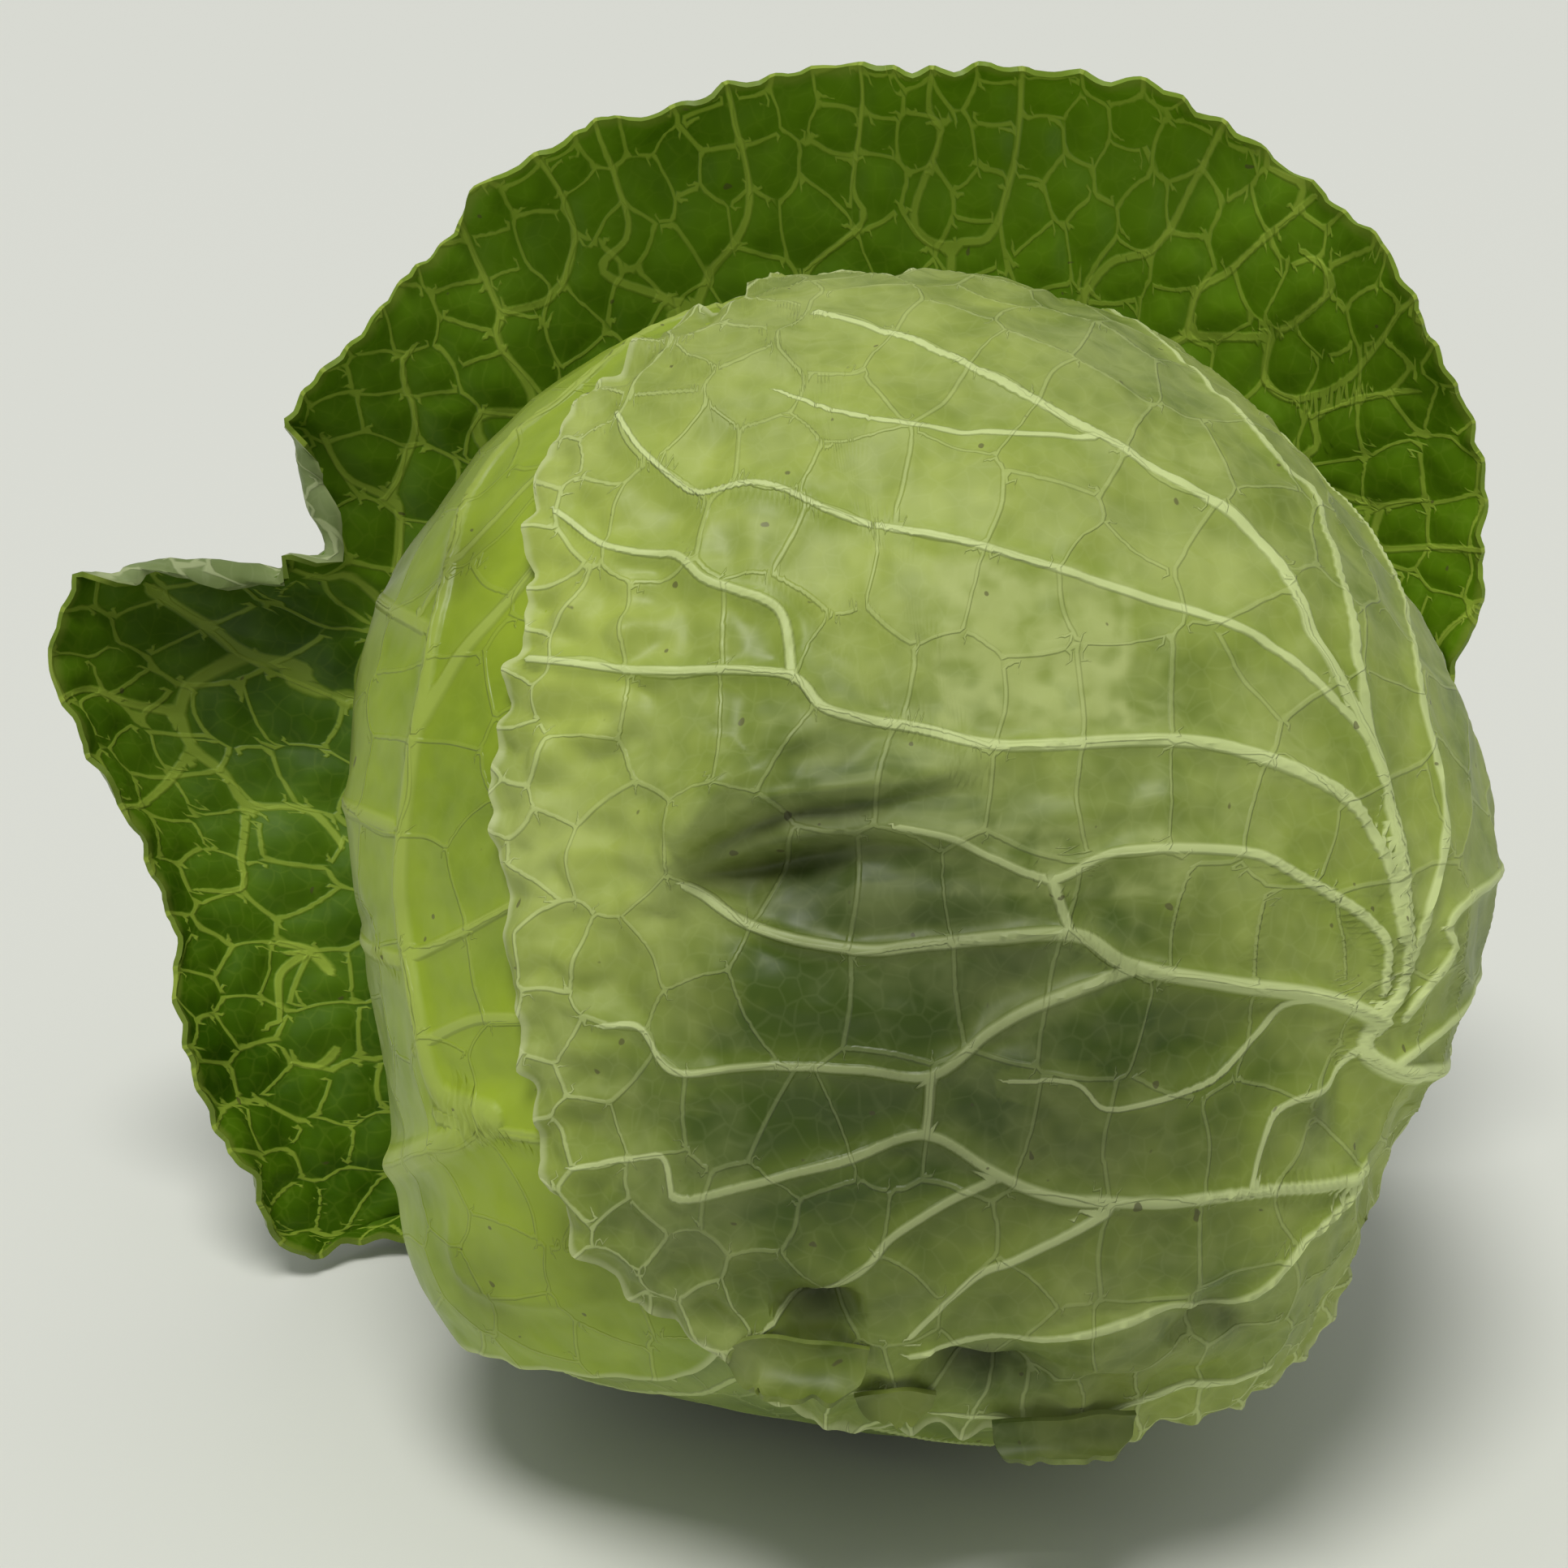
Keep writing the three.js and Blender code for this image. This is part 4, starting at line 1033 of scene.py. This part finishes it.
# each flap's tone and darkening are painted shade at the foot of the head
flaps = {
    "torn_flap": {"line": [(-38, -86), (-30, -84), (-20, -84.5), (-10, -86)], "length": 12, "curl": 6, "start": 0.8,
                  "toneAndPaintedLight": -0.1, "paintedShade": 0.65, "rows": 26, "columns": 60},
    "folded_end": {"line": [(12, -99), (22, -98), (38, -97)], "length": 10, "curl": 4, "start": 0.5, "toneAndPaintedLight": -0.4,
                   "paintedShade": 0.6, "rows": 30, "columns": 60},
    "ragged_tip": {"line": [(-14, -94), (-6, -93), (3, -94)], "length": 7, "curl": 8, "start": 0.6, "toneAndPaintedLight": -0.1,
                   "paintedShade": 0.6, "rows": 18, "columns": 40},
}
for name, flap in flaps.items():
    bpy.ops.object.select_all(action="DESELECT")
    bpy.ops.mesh.primitive_grid_add(x_subdivisions=flap["columns"], y_subdivisions=flap["rows"], size=2)
    piece = bpy.context.object
    piece.name = piece.data.name = name
    flat = np.empty(len(piece.data.vertices) * 3)
    piece.data.vertices.foreach_get("co", flat)
    flat = flat.reshape(-1, 3)
    line = smoothLine(pinned(frontLeaf, flap["line"]), 0.25)
    base = leafSurface(frontLeaf, line)
    outward = leafNormals(frontLeaf, line)
    along = unit(np.gradient(base, axis=0))
    down = np.cross(along, outward)
    down = down * np.sign(-(down @ headAxes[1]))[:, None]
    share = (flat[:, 0] + 1) / 2 * (len(line) - 1)
    whole = np.clip(share.astype(int), 0, len(line) - 2)
    part = (share - whole)[:, None]
    mixed = [a[whole] * (1 - part) + a[whole + 1] * part for a in (base, outward, down)]
    v = (1 - flat[:, 1]) / 2
    taper = np.sin(np.clip(flat[:, 0] + 1, 0, 2) * math.pi / 2) ** 0.5
    ragged = 1 + 0.25 * waves(np.stack([flat[:, 0] * 4, 0 * v, 0 * v], -1), 1, 121)
    run = v * flap["length"] * (0.35 + 0.65 * taper) * ragged
    bent = run / flap["curl"]
    points = mixed[0] + mixed[2] * (flap["curl"] * np.sin(bent))[:, None]
    points += mixed[1] * (flap["start"] + flap["curl"] * (1 - np.cos(bent)))[:, None]
    points += mixed[1] * (0.9 * waves(points, 7, 123))[:, None]
    points[:, 2] = np.maximum(points[:, 2], 1.5)
    piece.data.vertices.foreach_set("co", (points * 0.001).ravel())
    piece.data.update()
    setPlain(piece.data, flap["toneAndPaintedLight"], flap["paintedShade"])
    piece.data.materials.append(waxy)
    shell = piece.modifiers.new("thickness", "SOLIDIFY")
    shell.thickness = 0.0009
    shell.offset = 0
    bpy.ops.object.modifier_apply(modifier="thickness")
    bpy.ops.object.shade_smooth_by_angle(angle=math.radians(60))
    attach(piece, "root")
print("built the flaps")

# the heart and the cut stem

heart = {"layer": -5 * pitch + outer, "lowest": 4.2, "segments": 160, "rings": 100}
bpy.ops.object.select_all(action="DESELECT")
bpy.ops.mesh.primitive_uv_sphere_add(segments=heart["segments"], ring_count=heart["rings"], radius=1)
ball = bpy.context.object
ball.name = ball.data.name = "heart"
co = np.empty(len(ball.data.vertices) * 3)
ball.data.vertices.foreach_get("co", co)
directions = unit(co.reshape(-1, 3))
shape = directions * headRadius(directions, heart["layer"])[:, None]
spots = toPart(shape)
spots += (toPart(directions) - np.array(head["centre"])) * waves(spots, 30, 91)[:, None]
spots[:, 2] = np.maximum(spots[:, 2], heart["lowest"])
ball.data.vertices.foreach_set("co", (spots * 0.001).ravel())
ball.data.update()
setPlain(ball.data, 0.3, 1)
ball.data.materials.append(leafMaterial("heartLeaf", dict(waxyLook, deep=(0.3, 0.36, 0.12), light=(0.5, 0.55, 0.28))))
bpy.ops.object.shade_smooth()
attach(ball, "root")
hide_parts("heart")

stem = {
    "radius": 13, "from": 60, "to": 92, "lip": 1.2, "sunk": 0.9, "ring": 1.9, "rings": 5,
    "cut": (0.42, 0.38, 0.2), "skin": (0.3, 0.36, 0.15), "paleSkin": (0.42, 0.45, 0.25), "dry": (0.22, 0.16, 0.07),
}
axis = unit(head["stem"]) @ headAxes
turn = Vector((0, 0, 1)).rotation_difference(Vector(axis)).to_matrix().to_4x4()
bpy.ops.object.select_all(action="DESELECT")
bpy.ops.mesh.primitive_cylinder_add(vertices=72, radius=stem["radius"], depth=stem["to"] - stem["from"],
                                    end_fill_type="NGON")
post = bpy.context.object
post.name = post.data.name = "stem"
bpy.ops.object.mode_set(mode="EDIT")
bpy.ops.mesh.select_all(action="DESELECT")
bpy.ops.object.mode_set(mode="OBJECT")
for face in post.data.polygons:
    face.select = face.normal.z > 0.9
bpy.ops.object.mode_set(mode="EDIT")
bpy.ops.mesh.select_mode(type="FACE")
bpy.ops.mesh.inset(thickness=stem["lip"], depth=stem["sunk"])
for _ in range(stem["rings"]):
    bpy.ops.mesh.inset(thickness=stem["ring"], depth=0)
bpy.ops.mesh.select_all(action="SELECT")
bpy.ops.mesh.subdivide(number_cuts=1)
bpy.ops.object.mode_set(mode="OBJECT")
co = np.empty(len(post.data.vertices) * 3)
post.data.vertices.foreach_get("co", co)
co = co.reshape(-1, 3)
radial = np.hypot(co[:, 0], co[:, 1])
co[:, :2] *= (1 + 0.05 * waves(co, 9, 95) * (radial > 5))[:, None]
co[:, 2] += 0.35 * waves(co, 4, 97) * (co[:, 2] > 0)
cutAt = co[:, 2] > (stem["to"] - stem["from"]) / 2 - 0.4
setValues(post.data, "cut", cutAt & (radial < stem["radius"] * 0.95))
setValues(post.data, "ring", radial / stem["radius"])
middle = np.array(head["centre"]) + axis * (stem["from"] + stem["to"]) / 2
rotated = co @ np.array(turn.to_3x3()).T + middle
post.data.vertices.foreach_set("co", (rotated * 0.001).ravel())
post.data.update()

stemMaterial = bpy.data.materials.new("cutStem")
stemMaterial.use_nodes = True
tree = stemMaterial.node_tree
surface = tree.nodes["Principled BSDF"]
place = put(tree, "ShaderNodeTexCoord").outputs["Object"]
ring = put(tree, "ShaderNodeAttribute", attribute_name="ring").outputs["Fac"]
isCut = put(tree, "ShaderNodeAttribute", attribute_name="cut").outputs["Fac"]
grain = put(tree, "ShaderNodeTexNoise", {"Vector": place, "Scale": 500.0, "Detail": 5.0}).outputs[0]
patch = put(tree, "ShaderNodeTexNoise", {"Vector": place, "Scale": 90.0, "Detail": 4.0}).outputs[0]
bundles = use(tree, "specks", vector=place, often=900.0, share=0.3)["Mask"]
cutColour = blendColour(tree, ramp(tree, ring, 0.7, 0.95), colour(stem["cut"]), colour(stem["dry"]))
stained = calc(tree, "MULTIPLY", ramp(tree, patch, 0.45, 0.65), 0.45)
cutColour = blendColour(tree, stained, cutColour, colour(stem["dry"]))
cutColour = blendColour(tree, calc(tree, "MULTIPLY", bundles, 0.5), cutColour, colour(stem["dry"]))
skinColour = blendColour(tree, ramp(tree, grain, 0.35, 0.7), colour(stem["skin"]), colour(stem["paleSkin"]))
tree.links.new(blendColour(tree, isCut, skinColour, cutColour), surface.inputs["Base Color"])
surface.inputs["Roughness"].default_value = 0.7
relief = calc(tree, "ADD", grain, bundles)
bump = put(tree, "ShaderNodeBump", {"Height": relief, "Strength": 0.6, "Distance": 0.0004})
tree.links.new(bump.outputs[0], surface.inputs["Normal"])
post.data.materials.append(stemMaterial)
bpy.ops.object.shade_smooth_by_angle(angle=math.radians(40))
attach(post, "root")
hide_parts("stem")
print("built heart and stem")

# floor, light and camera

stage = {
    "floor": (0.79, 0.8, 0.75), "floorSize": 40, "sky": (0.9, 0.93, 0.92), "skyStrength": 0.33,
    # where each sun stands, its strength, its spread in degrees and its tint
    "suns": {
        "key": ((-0.12, -0.38, 1.2), 1.86, 22, (1, 0.99, 0.96)),
        "overhead": ((0, 0.1, 1.2), 0.2, 80, (1, 1, 1)),
    },
    "filmWidth": 36,
}
bpy.ops.object.select_all(action="DESELECT")
bpy.ops.mesh.primitive_plane_add(size=stage["floorSize"], location=(0, 0, 0))
floor = bpy.context.object
floor.name = "floor"
floorMaterial = bpy.data.materials.new("paleFloor")
floorMaterial.use_nodes = True
floorSurface = floorMaterial.node_tree.nodes["Principled BSDF"]
floorSurface.inputs["Base Color"].default_value = colour(stage["floor"])
floorSurface.inputs["Roughness"].default_value = 0.6
floor.data.materials.append(floorMaterial)

world = bpy.data.worlds.new("studio")
world.use_nodes = True
world.node_tree.nodes["Background"].inputs[0].default_value = colour(stage["sky"])
world.node_tree.nodes["Background"].inputs[1].default_value = stage["skyStrength"]
bpy.context.scene.world = world

for name, (place, strength, spread, tint) in stage["suns"].items():
    bpy.ops.object.light_add(type="SUN", location=place)
    lamp = bpy.context.object
    lamp.name = name
    lamp.data.energy = strength
    lamp.data.angle = math.radians(spread)
    lamp.data.color = tint
    lamp.rotation_euler = (-Vector(place)).to_track_quat("-Z", "Y").to_euler()

centre = np.array(head["centre"])
eye = centre + np.array([view["right"], view["up"], view["away"]]) @ headAxes
bpy.ops.object.camera_add(location=tuple(eye * 0.001))
camera = bpy.context.object
camera.rotation_euler = (math.radians(90 - head["faceTilt"]), 0, 0)
camera.data.sensor_width = stage["filmWidth"]
camera.data.lens = stage["filmWidth"] * view["away"] / view["width"]
camera.data.clip_end = 50
bpy.context.scene.camera = camera
bpy.context.scene.view_settings.view_transform = "Standard"
print("stage ready")
